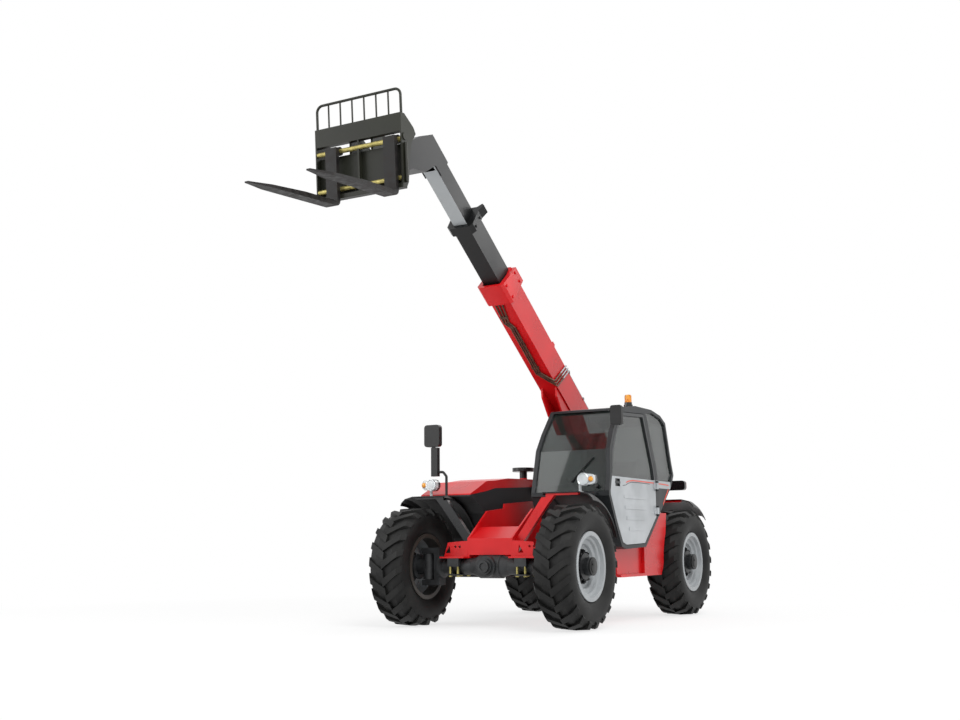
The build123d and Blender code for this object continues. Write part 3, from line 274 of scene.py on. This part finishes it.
def wheel_enamel(node):
    """A pressed rim in silver-grey enamel, with a black cast hub within a radius of its middle and
    painted shade on its inboard side.
    """
    material, shader, place = start_material("rim_enamel_" + node, {"Roughness": 0.4})
    centre = middle(node)
    side = math.copysign(1, centre.y)
    hub_radius, inboard_shade_line = 0.166, 900
    shift = add_node(material, "ShaderNodeMapping",
                     {"Location": (-centre.x, 0, -centre.z), "Scale": (1, 0, 1)},
                     {"Vector": (place, "Object")})
    radius = add_node(material, "ShaderNodeVectorMath", {"operation": "LENGTH"}, {0: (shift, 0)})
    on_rim = add_node(material, "ShaderNodeMath", {"operation": "GREATER_THAN", 1: hub_radius},
                      {0: (radius, 1)})
    cloud = grain(material, place, 240, 3.0)
    silver = add_node(material, "ShaderNodeMix",
                      {"data_type": "RGBA", 6: linear("#8E9295"), 7: linear("#AAAEB0")},
                      {0: (cloud, 0)})
    mix = add_node(material, "ShaderNodeMix", {"data_type": "RGBA", 6: linear(satin_black)},
                   {0: (on_rim, 0), 7: (silver, 2)})
    material.node_tree.links.new(mix.outputs[2], shader.inputs["Base Color"])
    bump(material, shader, grain(material, place, 8, 1.0), 0.4, 0.15)
    # The rim's inboard side, turned in under the machine, is painted a dark brownish grey as shade
    inboard = right_of(inboard_shade_line) if side > 0 else left_of(-inboard_shade_line)
    repaint(material, shader, place, "#37332F", inboard)
    return material


belt_z = 1502


def silver_panel():
    """Injection-moulded door skin painted silver grey, in a dark frame above the belt."""
    material, shader, place = start_material("silver_grey_moulded_panel", {
        "Roughness": 0.36, "Metallic": 0.25})
    tint(material, shader, grain(material, place, 300, 2.0), "#A4A8AB", "#B6BABD")
    bump(material, shader, grain(material, place, 3, 1.0), 0.3, 0.12)
    repaint(material, shader, place, window_grey, above(belt_z))
    # The handle's recess, painted dark grey as its shade
    repaint(material, shader, place, window_grey,
            ahead_of(630), behind(750), above(1400), below(1480))
    return material


def tinted_glass():
    """Toughened cab glass with a grey-green tint: thin, clear and glossy."""
    material, shader, place = start_material("tinted_toughened_glass", {
        "Base Color": linear("#515B58"), "Roughness": 0.03, "IOR": 1.5,
        "Transmission Weight": 0.9, "Alpha": 0.85})
    bump(material, shader, grain(material, place, 240, 1.0), 0.4, 0.05)
    return material


def clear_lens():
    """Clear polycarbonate lamp lens."""
    material, shader, place = start_material("clear_polycarbonate", {
        "Roughness": 0.08, "IOR": 1.58, "Transmission Weight": 0.35})
    tint(material, shader, grain(material, place, 60, 1.0), "#DDE3E6", "#EDF1F3")
    bump(material, shader, grain(material, place, 12, 0.0), 0.8, 0.2)
    return material


def amber_lens():
    """Amber polycarbonate with moulded ribs, lit through."""
    material, shader, place = start_material("amber_polycarbonate", {
        "Roughness": 0.18, "IOR": 1.58, "Transmission Weight": 0.35})
    tint(material, shader, grain(material, place, 40, 1.0), "#F08A12", "#FFB53A")
    return material


def red_lens():
    """Red polycarbonate lamp lens."""
    material, shader, place = start_material("red_polycarbonate", {
        "Roughness": 0.15, "IOR": 1.58, "Transmission Weight": 0.2})
    tint(material, shader, grain(material, place, 30, 1.0), "#9C0F14", "#C41B20")
    return material


def plated_zinc():
    """Yellow-passivated zinc plating on turned steel: a soft greenish gold."""
    material, shader, place = start_material("yellow_passivated_zinc", {
        "Metallic": 0.75, "Roughness": 0.38})
    tint(material, shader, grain(material, place, 45, 4.0), "#8F8650", "#BDB06C")
    bump(material, shader, grain(material, place, 5, 2.0), 0.2, 0.2)
    return material


def coated_pipe():
    """Hydraulic pipe in drawn steel with a brownish protective coat."""
    material, shader, place = start_material("coated_steel_pipe", {"Metallic": 0.4, "Roughness": 0.45})
    tint(material, shader, grain(material, place, 60, 3.0), "#4A3329", "#6E4D3D")
    return material


def hard_chrome():
    """Ground hard-chrome piston rod: bright with a faint oily haze."""
    material, shader, place = start_material("hard_chrome", {"Metallic": 1.0, "Roughness": 0.12})
    tint(material, shader, grain(material, place, 80, 2.0), "#C9CCCE", "#DDDFE0")
    return material


def seat_cloth():
    """Woven seat cloth in charcoal: matt, with a fine basket weave."""
    material, shader, place = start_material("woven_seat_cloth", {
        "Roughness": 0.9, "Sheen Weight": 0.3})
    # A yarn is about 1 mm thick: it is drawn coarser, so that the weave shows
    weave_mm = 6
    weave = add_node(material, "ShaderNodeTexVoronoi", {"Scale": 1000 / weave_mm},
                     {"Vector": (place, "Object")})
    tint(material, shader, weave, "#1B1C1F", "#34363A", 0.1, 0.6)
    bump(material, shader, weave, 0.6, 0.4)
    return material


fork_steel = forged_fork_steel()
axle_cast = cast_steel()
rubber = tyre_rubber()
polyethylene = moulded_polyethylene()
panel_silver = silver_panel()
cab_glazing = tinted_glass()
# The lamps' own housings are dark: behind the lens, under the dome and ahead of the tail lens
lamp_x = 1262
lamp_lens = repainted(clear_lens(), "#4A4D50", behind(lamp_x))
beacon_lens = repainted(amber_lens(), satin_black, below(2348))
tail_lens = repainted(red_lens(), satin_black, ahead_of(-1724))
zinc = plated_zinc()
# The pipes' run above the boom's centreline is bare steel
pipe_steel = repainted(coated_pipe(), "#A3A6A8", (above_boom, on_boom(0, 0, 0)))
chrome_rod = hard_chrome()
seat_fabric = seat_cloth()

# The right front fender's arm is painted black as shade, while the left arm stays red; the intake and
# its cap on the lid are black
frame_enamel = painted_steel(
    "red_enamel_frame", red_shades, red_gloss, coat=red_coat,
    areas=((satin_black, right_of(-262), above(712), ahead_of(1315), behind(1375)),))
lid_enamel = painted_steel("red_enamel_lid", red_shades, red_gloss, coat=red_coat,
                           areas=((satin_black, above(1600)),))
# The underside of the inner boom is worn to greased steel
inner_boom_enamel = painted_steel("black_enamel_greased_steel", black_shades, 0.34,
                                  areas=(("#9EA2A4", (-above_boom, on_boom(0, 0, -101))),))
# The silver band of the door runs on over the quarter panel behind it
cab_enamel = painted_steel(
    "dark_grey_powder_coat_cab", grey_shades, 0.45, powder_grit_mm, powder_depth_mm,
    areas=(("#A9ADB0", left_of(1050), above(1420), below(belt_z), behind(-372), ahead_of(-800)),))

finishes = {
    "red_paint": red_enamel,
    "dark_grey_paint": grey_enamel,
    "black_paint": black_enamel,
    "olive_black_paint": olive_enamel,
    "fork_black": fork_steel,
    "cab_grey": grey_enamel,
    "door_silver": panel_silver,
    "cast_grey": axle_cast,
    "tyre_rubber": rubber,
    "black_plastic": polyethylene,
    "tinted_glass": cab_glazing,
    "clear_lens": lamp_lens,
    "amber_lens": beacon_lens,
    "red_lens": tail_lens,
    "zinc_yellow": zinc,
    "steel_pipe": pipe_steel,
    "chrome_rod": chrome_rod,
    "seat_fabric": seat_fabric,
}
own_finishes = {
    "chassis_frame": frame_enamel,
    "engine_hood": lid_enamel,
    "boom_inner": inner_boom_enamel,
    "cab_shell": cab_enamel,
}
node_slots = {row["node"]: row["material_slot"] for row in frame["record"]["subparts"]}
for node_name, node_object in frame["nodes"].items():
    if node_name.startswith("rim_"):
        finish = wheel_enamel(node_name)
    else:
        finish = own_finishes.get(node_name) or finishes[node_slots[node_name]]
    node_object.data.materials.clear()
    node_object.data.materials.append(finish)

# --- Modelling helpers ---------------------------------------------------------------------


def deselect():
    """Leaves no object selected."""
    for item in bpy.context.selected_objects:
        item.select_set(False)


def only(piece):
    """Selects one piece and nothing else."""
    deselect()
    piece.select_set(True)
    bpy.context.view_layer.objects.active = piece


def unmark(piece):
    """Leaves no corner, edge or face of a piece selected."""
    for item in (*piece.data.vertices, *piece.data.edges, *piece.data.polygons):
        item.select = False


def edit_faces(piece, wanted):
    """Opens edit mode with just the faces selected that pass a test."""
    only(piece)
    unmark(piece)
    for face in piece.data.polygons:
        face.select = wanted(face)
    bpy.ops.object.mode_set(mode="EDIT")
    bpy.ops.mesh.select_mode(type="FACE")


def extrude(step):
    """Draws what is selected out by a step in metres."""
    bpy.ops.mesh.extrude_region_move(TRANSFORM_OT_translate={"value": step})


def leave_edit():
    """Closes edit mode."""
    bpy.ops.object.mode_set(mode="OBJECT")


def face_outward():
    """Turns all faces of the piece in edit mode outward, and closes edit mode."""
    bpy.ops.mesh.select_all(action="SELECT")
    bpy.ops.mesh.normals_make_consistent(inside=False)
    leave_edit()


def rounded(piece, width_mm, segments=2):
    """Rounds a piece's edges with an applied bevel."""
    only(piece)
    bevel = piece.modifiers.new("bevel", "BEVEL")
    bevel.width = width_mm / 1000
    bevel.segments = segments
    bpy.ops.object.modifier_apply(modifier=bevel.name)
    return piece


def joined(parts):
    """Several loose forms as one piece."""
    deselect()
    for part in parts:
        part.select_set(True)
    bpy.context.view_layer.objects.active = parts[0]
    bpy.ops.object.join()
    return parts[0]


def fit(piece, name, body, material, smooth_angle=30):
    """Names a finished piece, puts its place in its mesh, and fixes its finish and its body."""
    only(piece)
    bpy.ops.object.transform_apply(location=True, rotation=True, scale=True)
    bpy.ops.object.shade_smooth_by_angle(angle=math.radians(smooth_angle))
    piece.name = name
    piece.data.materials.clear()
    piece.data.materials.append(material)
    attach(piece, body)
    return piece


def turned_to(direction):
    """The turn that points a form's own Z axis in a direction."""
    return Vector((0, 0, 1)).rotation_difference(Vector(direction)).to_euler()


def disc(place, direction, radius, depth, vertices):
    """A round or many-sided disc about a place, with its axis in a direction."""
    bpy.ops.mesh.primitive_cylinder_add(vertices=vertices, radius=radius, depth=depth,
                                        location=place, rotation=turned_to(direction))
    return bpy.context.object


def ball(place, radius, segments):
    """A ball about a place."""
    bpy.ops.mesh.primitive_uv_sphere_add(segments=segments, ring_count=12, radius=radius,
                                         location=place)
    return bpy.context.object


def block(place, size_mm, turn=(0, 0, 0)):
    """A plain block about a place, with its size put in its mesh."""
    bpy.ops.mesh.primitive_cube_add(size=1, location=place, rotation=turn)
    piece = bpy.context.object
    piece.scale = [length / 1000 for length in size_mm]
    only(piece)
    bpy.ops.object.transform_apply(location=False, rotation=False, scale=True)
    return piece


def hex_nut(place, direction, across_mm, height_mm, stud_mm):
    """A hexagon nut that faces a direction, with the end of its stud standing out of it."""
    direction = Vector(direction)
    height = height_mm / 1000
    # From the width across the flats in millimetres to the radius of the corners in metres
    corner_radius = across_mm / 1732
    chamfer, chamfer_rise, stud_edge = across_mm / 9000, height * 0.12, across_mm / 7000
    nut = disc(place + direction * height / 2, direction, corner_radius, height, 6)
    edit_faces(nut, lambda face: face.normal.z > 0.9)
    bpy.ops.mesh.inset(thickness=chamfer)
    extrude(direction * chamfer_rise)
    bpy.ops.mesh.inset(thickness=stud_edge)
    extrude(direction * stud_mm / 1000)
    leave_edit()
    return nut


def bar(start, end, width_mm, depth_mm, round_mm=1.5):
    """A square bar between two places, with rounded edges."""
    size = (width_mm, depth_mm, (end - start).length * 1000)
    return rounded(block((start + end) / 2, size, turned_to(end - start)), round_mm)


def ribbon(points, width_mm, side_y):
    """A flat strip on a side panel that runs through places in x and z: a painted line's film."""
    half = width_mm / 2
    bpy.ops.mesh.primitive_plane_add(size=1)
    strip = bpy.context.object
    # The plane's left and right edges become the ends of the strip's first stretch
    for vertex in strip.data.vertices:
        x, z = points[0] if vertex.co.x < 0 else points[1]
        vertex.co = at(x, side_y, z + (half if vertex.co.y > 0 else -half))
    for (x0, z0), (x1, z1) in zip(points[1:], points[2:]):
        only(strip)
        unmark(strip)
        end = at(x0, side_y, z0)
        for vertex in strip.data.vertices:
            vertex.select = abs(vertex.co.x - end.x) < 1e-5
        bpy.ops.object.mode_set(mode="EDIT")
        bpy.ops.mesh.select_mode(type="VERT")
        extrude(at(x1, side_y, z1) - end)
        leave_edit()
    only(strip)
    film = strip.modifiers.new("film", "SOLIDIFY")
    film.thickness = 0.001
    film.offset = 0
    bpy.ops.object.modifier_apply(modifier=film.name)
    bpy.ops.object.mode_set(mode="EDIT")
    face_outward()
    return strip


# --- Wheels and axles ----------------------------------------------------------------------

# In metres: the wheels' middle planes stand wheel_y from the machine's, and the hub's faces
# stand out from the wheel's own
wheel_y, bolt_face, cover_face, plug_face = 0.93, 0.0635, 0.178, 0.19
nut_count, nut_circle = 10, 0.148
cover_radius, cover_depth, cover_rim, cover_rise = 0.088, 0.016, 0.026, 0.006
plug_x, plug_z = 0.03, 0.02
for corner in ("front_left", "front_right", "rear_left", "rear_right"):
    side = 1 if corner.endswith("left") else -1
    outward = (0, side, 0)
    hub = middle("rim_" + corner)
    hub.y = side * wheel_y
    hub_parts = []
    for number in range(nut_count):
        turn = 2 * math.pi * (number + 0.5) / nut_count
        foot = hub + Vector((nut_circle * math.cos(turn), side * bolt_face,
                             nut_circle * math.sin(turn)))
        hub_parts.append(hex_nut(foot, outward, 32, 22, 12))
    # The hub's cover, with its drain plug
    cover = disc(hub + Vector((0, side * cover_face, 0)), outward, cover_radius, cover_depth, 48)
    edit_faces(cover, lambda face: face.normal.z > 0.9)
    bpy.ops.mesh.inset(thickness=cover_rim)
    extrude((0, side * cover_rise, 0))
    leave_edit()
    hub_parts.append(rounded(cover, 2))
    plug_foot = hub + Vector((plug_x, side * plug_face, plug_z))
    hub_parts.append(hex_nut(plug_foot, outward, 24, 8, 1))
    fit(joined(hub_parts), "hub_nuts_" + corner, "wheel_" + corner, black_enamel)

# Four studs clamp the axle housing under each of its two pads
pad_y, stud_reach_x, stud_reach_y, clamp_z = 385, 105, 45, 516
sleeve_radius, sleeve_length, sleeve_rise = 0.0125, 0.15, 0.09
for end, axle_x in (("front", front_axle_x), ("rear", rear_axle_x)):
    clamps = []
    for pad_side in (pad_y, -pad_y):
        for stud_x in (-stud_reach_x, stud_reach_x):
            for stud_y in (-stud_reach_y, stud_reach_y):
                foot = at(axle_x + stud_x, pad_side + stud_y, clamp_z)
                clamps.append(hex_nut(foot, (0, 0, -1), 36, 12, 1))
                # A plated sleeve round the stud, above the clamp plate
                sleeve = disc(foot + Vector((0, 0, sleeve_rise)), (0, 0, 1),
                              sleeve_radius, sleeve_length, 20)
                clamps.append(rounded(sleeve, 1.0, 1))
    fit(joined(clamps), "clamp_studs_" + end, "chassis", zinc)

# --- Boom ----------------------------------------------------------------------------------


def bolts_both_sides(places, y, across_mm, height_mm, stud_mm):
    """The same bolt heads at u and v places on both sides of the boom, as one piece."""
    return joined([hex_nut(on_boom(u, side * y, v), (0, side, 0), across_mm, height_mm, stud_mm)
                   for side in (1, -1) for u, v in places])


outer_places = ((3690, -130), (3850, -130), (3680, 120), (3800, 120))
middle_places = ((4640, -80), (4640, 50))
tilt_pin = (5922, -654)
fit(bolts_both_sides(outer_places, 157.5, 30, 10, 0.5),
    "outer_collar_bolts", "boom_outer", red_enamel)
fit(bolts_both_sides(middle_places, 149.5, 26, 9, 0.5),
    "middle_collar_bolts", "boom_middle", black_enamel)
# The tilt pin's own bolts, outside the couplers
fit(bolts_both_sides((tilt_pin,), 131, 44, 12, 3),
    "tilt_pin_bolts", "carriage", black_enamel)

# --- Cab -----------------------------------------------------------------------------------

screen_foot_x, screen_foot_z, screen_height, screen_lean = 915, 1353, 437, 120


def on_screen(y, z, lift):
    """A place in front of the leaning windscreen's frame, by a lift in millimetres."""
    x = screen_foot_x - (z - screen_foot_z) / screen_height * screen_lean
    return at(x + lift, y, z)


arm_foot, arm_tip = on_screen(945, 1400, 6), on_screen(760, 1575, 4)
spindle_direction, spindle_radius, spindle_length = (1, 0, 0.27), 0.02, 0.03
# The blade's rubber lies on the screen, and its carrier runs along the rubber
blade_low, blade_high = (650, 1450), (870, 1700)
wiper = joined([rounded(disc(arm_foot, spindle_direction, spindle_radius, spindle_length, 24), 3),
                bar(arm_foot, arm_tip, 14, 7),
                bar(on_screen(*blade_low, -4), on_screen(*blade_high, -4), 9, 14),
                bar(on_screen(*blade_low, 0), on_screen(*blade_high, 0), 16, 5)])
fit(wiper, "windscreen_wiper", "chassis", polyethylene)

orange_red = painted_steel("orange_red_line_film", ("#D6402A", "#DE4B32"), 0.35)
dark_film = painted_steel("charcoal_panel_film", ("#2E3032", "#37393B"), 0.45)
side_skin_y = 1080.9
fit(ribbon(((470, 1448), (400, 1464), (300, 1473), (100, 1474), (-340, 1470)), 11, side_skin_y),
    "door_line_red", "door", orange_red)
fit(ribbon(((560, 1412), (480, 1420), (420, 1440), (330, 1455), (100, 1457), (-180, 1455)), 6,
           side_skin_y), "door_line_dark", "door", dark_film)
fit(ribbon(((-374, 1470), (-560, 1468), (-740, 1462)), 11, side_skin_y),
    "quarter_line_red", "chassis", orange_red)
fit(ribbon(((-730, 1416), (-640, 1330), (-560, 1245)), 26, side_skin_y),
    "quarter_line_slanted", "chassis", orange_red)

# --- Lamps and mirrors ---------------------------------------------------------------------

lamp_depth, lamp_z = 53, 1448
lamp_front_x = lamp_x + lamp_depth
bezel_radius, bezel_edge = 0.056, 0.005
bezel_shift, turn_lens_shift, turn_lens_inset, turn_lens_radius = 25, 60, 3, 0.027
bezels, turn_lenses = [], []
for side, lamp_y in ((1, 1004), (-1, 812)):
    bpy.ops.mesh.primitive_torus_add(
        major_segments=40, minor_segments=10, major_radius=bezel_radius, minor_radius=bezel_edge,
        location=at(lamp_front_x, side * (lamp_y - bezel_shift), lamp_z),
        rotation=turned_to((1, 0, 0)))
    bezels.append(bpy.context.object)
    lens = ball(at(lamp_front_x - turn_lens_inset, side * (lamp_y + turn_lens_shift), lamp_z),
                turn_lens_radius, 24)
    # The lens is a flattened dome
    lens.scale = (0.45, 1, 1)
    turn_lenses.append(lens)
fit(joined(bezels), "headlamp_bezels", "chassis", chrome_rod)
fit(joined(turn_lenses), "turn_lamp_lenses", "chassis", amber_lens())

# Thin silvered panes in the rearward faces of the fender mirror and the cab mirror
silvered = hard_chrome()
silvered.name = "silvered_mirror_glass"
pane_mm = 4
panes = [rounded(block(at(x, y, z), (pane_mm, width, height)), 1.5)
         for x, y, z, width, height in ((1231, -787, 1970, 150, 198), (616, 1066, 2138, 98, 174))]
fit(joined(panes), "mirror_panes", "chassis", silvered)

# --- Seat and controls ---------------------------------------------------------------------

pad_pressure, settling_frames, pad_round_mm = 4, 20, 28


def inflated(pad, voxel_mm, cap_mm):
    """Fills a pad as foam fills its cover: blown up as cloth, and held to a small swell."""
    only(pad)
    bpy.ops.object.transform_apply(location=True, rotation=True, scale=True)
    remesh = pad.modifiers.new("remesh", "REMESH")
    remesh.mode = "VOXEL"
    remesh.voxel_size = voxel_mm / 1000
    bpy.ops.object.modifier_apply(modifier=remesh.name)
    start = [vertex.co.copy() for vertex in pad.data.vertices]
    cloth = pad.modifiers.new("cloth", "CLOTH")
    cloth.settings.use_pressure = True
    cloth.settings.uniform_pressure_force = pad_pressure
    cloth.settings.effector_weights.gravity = 0
    for number in range(1, settling_frames + 1):
        bpy.context.scene.frame_set(number)
    bpy.ops.object.modifier_apply(modifier=cloth.name)
    bpy.context.scene.frame_set(1)
    for vertex, home in zip(pad.data.vertices, start):
        swell = vertex.co - home
        if swell.length > cap_mm / 1000:
            vertex.co = home + swell.normalized() * cap_mm / 1000
    smooth = pad.modifiers.new("smooth", "SUBSURF")
    smooth.levels = smooth.render_levels = 1
    bpy.ops.object.modifier_apply(modifier=smooth.name)
    return pad


def pad_block(place, size_mm, lean_degrees):
    """A pad's cut shape before it is filled, with rounded corners."""
    cut = block(place, size_mm, (0, math.radians(lean_degrees), 0))
    return rounded(cut, pad_round_mm, 4)


seat_y, voxel_mm, swell_mm = 640, 9, 9
cushion = inflated(pad_block(at(-110, seat_y, 1186), (410, 440, 78), -3), voxel_mm, swell_mm)
fit(cushion, "seat_cushion", "chassis", seat_fabric, 60)
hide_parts("seat")
backrest_pad = inflated(pad_block(at(-376, seat_y, 1475), (70, 420, 540), -11.3),
                        voxel_mm, swell_mm)
fit(backrest_pad, "seat_backrest", "chassis", seat_fabric, 60)
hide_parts("seat")

# The suspension box under the cushion, on the cab's sloping floor: its side, then its width
box_right_y, box_width = 484, 0.312
box_corners = {(False, False): (-326, 1044), (True, False): (56, 770),
               (True, True): (36, 1138), (False, True): (-326, 1138)}
bpy.ops.mesh.primitive_plane_add(size=1)
seat_box = bpy.context.object
for vertex in seat_box.data.vertices:
    x, z = box_corners[(vertex.co.x > 0, vertex.co.y > 0)]
    vertex.co = at(x, box_right_y, z)
edit_faces(seat_box, lambda face: True)
extrude((0, box_width, 0))
face_outward()
fit(rounded(seat_box, 10), "seat_suspension_box", "chassis", polyethylene)
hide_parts("seat")

# Console and joystick on the seat's right
console_y, stick_x, stick_radius, stick_length, knob_radius = 345, 230, 0.012, 0.1, 0.024
console = bar(at(-200, console_y, 1130), at(330, console_y, 1130), 120, 130, 12)
stick = disc(at(stick_x, console_y, 1230), (0, 0, 1), stick_radius, stick_length, 20)
knob = ball(at(stick_x, console_y, 1272), knob_radius, 20)
fit(joined([console, stick, knob]), "side_console", "chassis", polyethylene)

# --- Camera, light and floor ---------------------------------------------------------------


def aimed(place, target):
    """The turn that points a camera or a lamp from a place to a target."""
    return (Vector(target) - Vector(place)).to_track_quat("-Z", "Y")


def add_camera():
    """The view from low in front of the machine's left side, tilted slightly up."""
    place, target = at(12051.2, 5984.3, 812), at(1763.9, 86, 2651.1)
    lens_mm, roll_degrees = 44.89, -0.54
    data = bpy.data.cameras.new("camera")
    data.lens = lens_mm
    camera = bpy.data.objects.new("camera", data)
    bpy.context.collection.objects.link(camera)
    roll = Matrix.Rotation(math.radians(roll_degrees), 4, "Z")
    camera.matrix_world = (Matrix.Translation(place)
                           @ aimed(place, target).to_matrix().to_4x4() @ roll)
    bpy.context.scene.camera = camera


def add_area_light(name, place, target, size, power):
    """A square lamp: its side in metres and its power in watts."""
    data = bpy.data.lights.new(name, "AREA")
    data.shape = "SQUARE"
    data.size = size
    data.energy = power
    lamp = bpy.data.objects.new(name, data)
    bpy.context.collection.objects.link(lamp)
    lamp.location = place
    lamp.rotation_euler = aimed(place, target).to_euler()


def seen_directly(owner, path):
    """1 on what the camera, gloss or glass sees, and 0 on what only lights the object."""
    pair = add_node(owner, "ShaderNodeMath", {"operation": "MAXIMUM"},
                    {0: (path, "Is Camera Ray"), 1: (path, "Is Glossy Ray")})
    return add_node(owner, "ShaderNodeMath", {"operation": "MAXIMUM"},
                    {0: (pair, 0), 1: (path, "Is Transmission Ray")})


def add_world():
    """White behind the object for the camera, gloss and glass; soft grey light for all else."""
    world = bpy.data.worlds.new("studio")
    bpy.context.scene.world = world
    world.use_nodes = True
    world.node_tree.nodes.clear()
    path = add_node(world, "ShaderNodeLightPath")
    soft = add_node(world, "ShaderNodeBackground", {"Color": (1, 1, 1, 1), "Strength": 0.58})
    white = add_node(world, "ShaderNodeBackground", {"Color": (1, 1, 1, 1), "Strength": 1.0})
    mix = add_node(world, "ShaderNodeMixShader",
                   links={0: (seen_directly(world, path), 0), 1: (soft, 0), 2: (white, 0)})
    add_node(world, "ShaderNodeOutputWorld", links={"Surface": (mix, 0)})


def add_floor():
    """A white floor that keeps the shadow near the wheels and fades out some way off."""
    floor_size, floor_drop = 120, 0.001
    fade_start, fade_end, near_white = 3.5, 9.0, 0.72
    bpy.ops.mesh.primitive_plane_add(size=floor_size, location=(0, 0, -floor_drop))
    floor = bpy.context.object
    floor.name = "floor"
    material, shader, place = start_material("white_studio_floor", {
        "Roughness": 0.9, "Base Color": linear("#F4F4F4")})
    path = add_node(material, "ShaderNodeLightPath")
    glow = add_node(material, "ShaderNodeEmission", {"Color": (1, 1, 1, 1), "Strength": 1.0})
    reach = add_node(material, "ShaderNodeVectorMath", {"operation": "LENGTH"},
                     {0: (place, "Object")})
    whiten = add_node(material, "ShaderNodeMapRange",
                      {1: fade_start, 2: fade_end, 3: near_white, 4: 1.0}, {"Value": (reach, 1)})
    fade = add_node(material, "ShaderNodeMath", {"operation": "MULTIPLY"},
                    {0: (whiten, 0), 1: (seen_directly(material, path), 0)})
    mix = add_node(material, "ShaderNodeMixShader", links={0: (fade, 0), 1: (shader, 0), 2: (glow, 0)})
    output = next(node for node in material.node_tree.nodes if node.type == "OUTPUT_MATERIAL")
    material.node_tree.links.new(mix.outputs[0], output.inputs["Surface"])
    floor.data.materials.append(material)


deselect()
add_camera()
add_world()
add_floor()
centre = (Vector(cad_box[0]) + Vector(cad_box[1])) / 2
add_area_light("key", centre + Vector((6, 7, 7)), centre, 6, 900)
add_area_light("fill", centre + Vector((7, -8, 3)), centre, 7, 420)
add_area_light("back", centre + Vector((-9, 2, 7)), centre, 7, 420)
bpy.context.scene.view_settings.view_transform = "Standard"
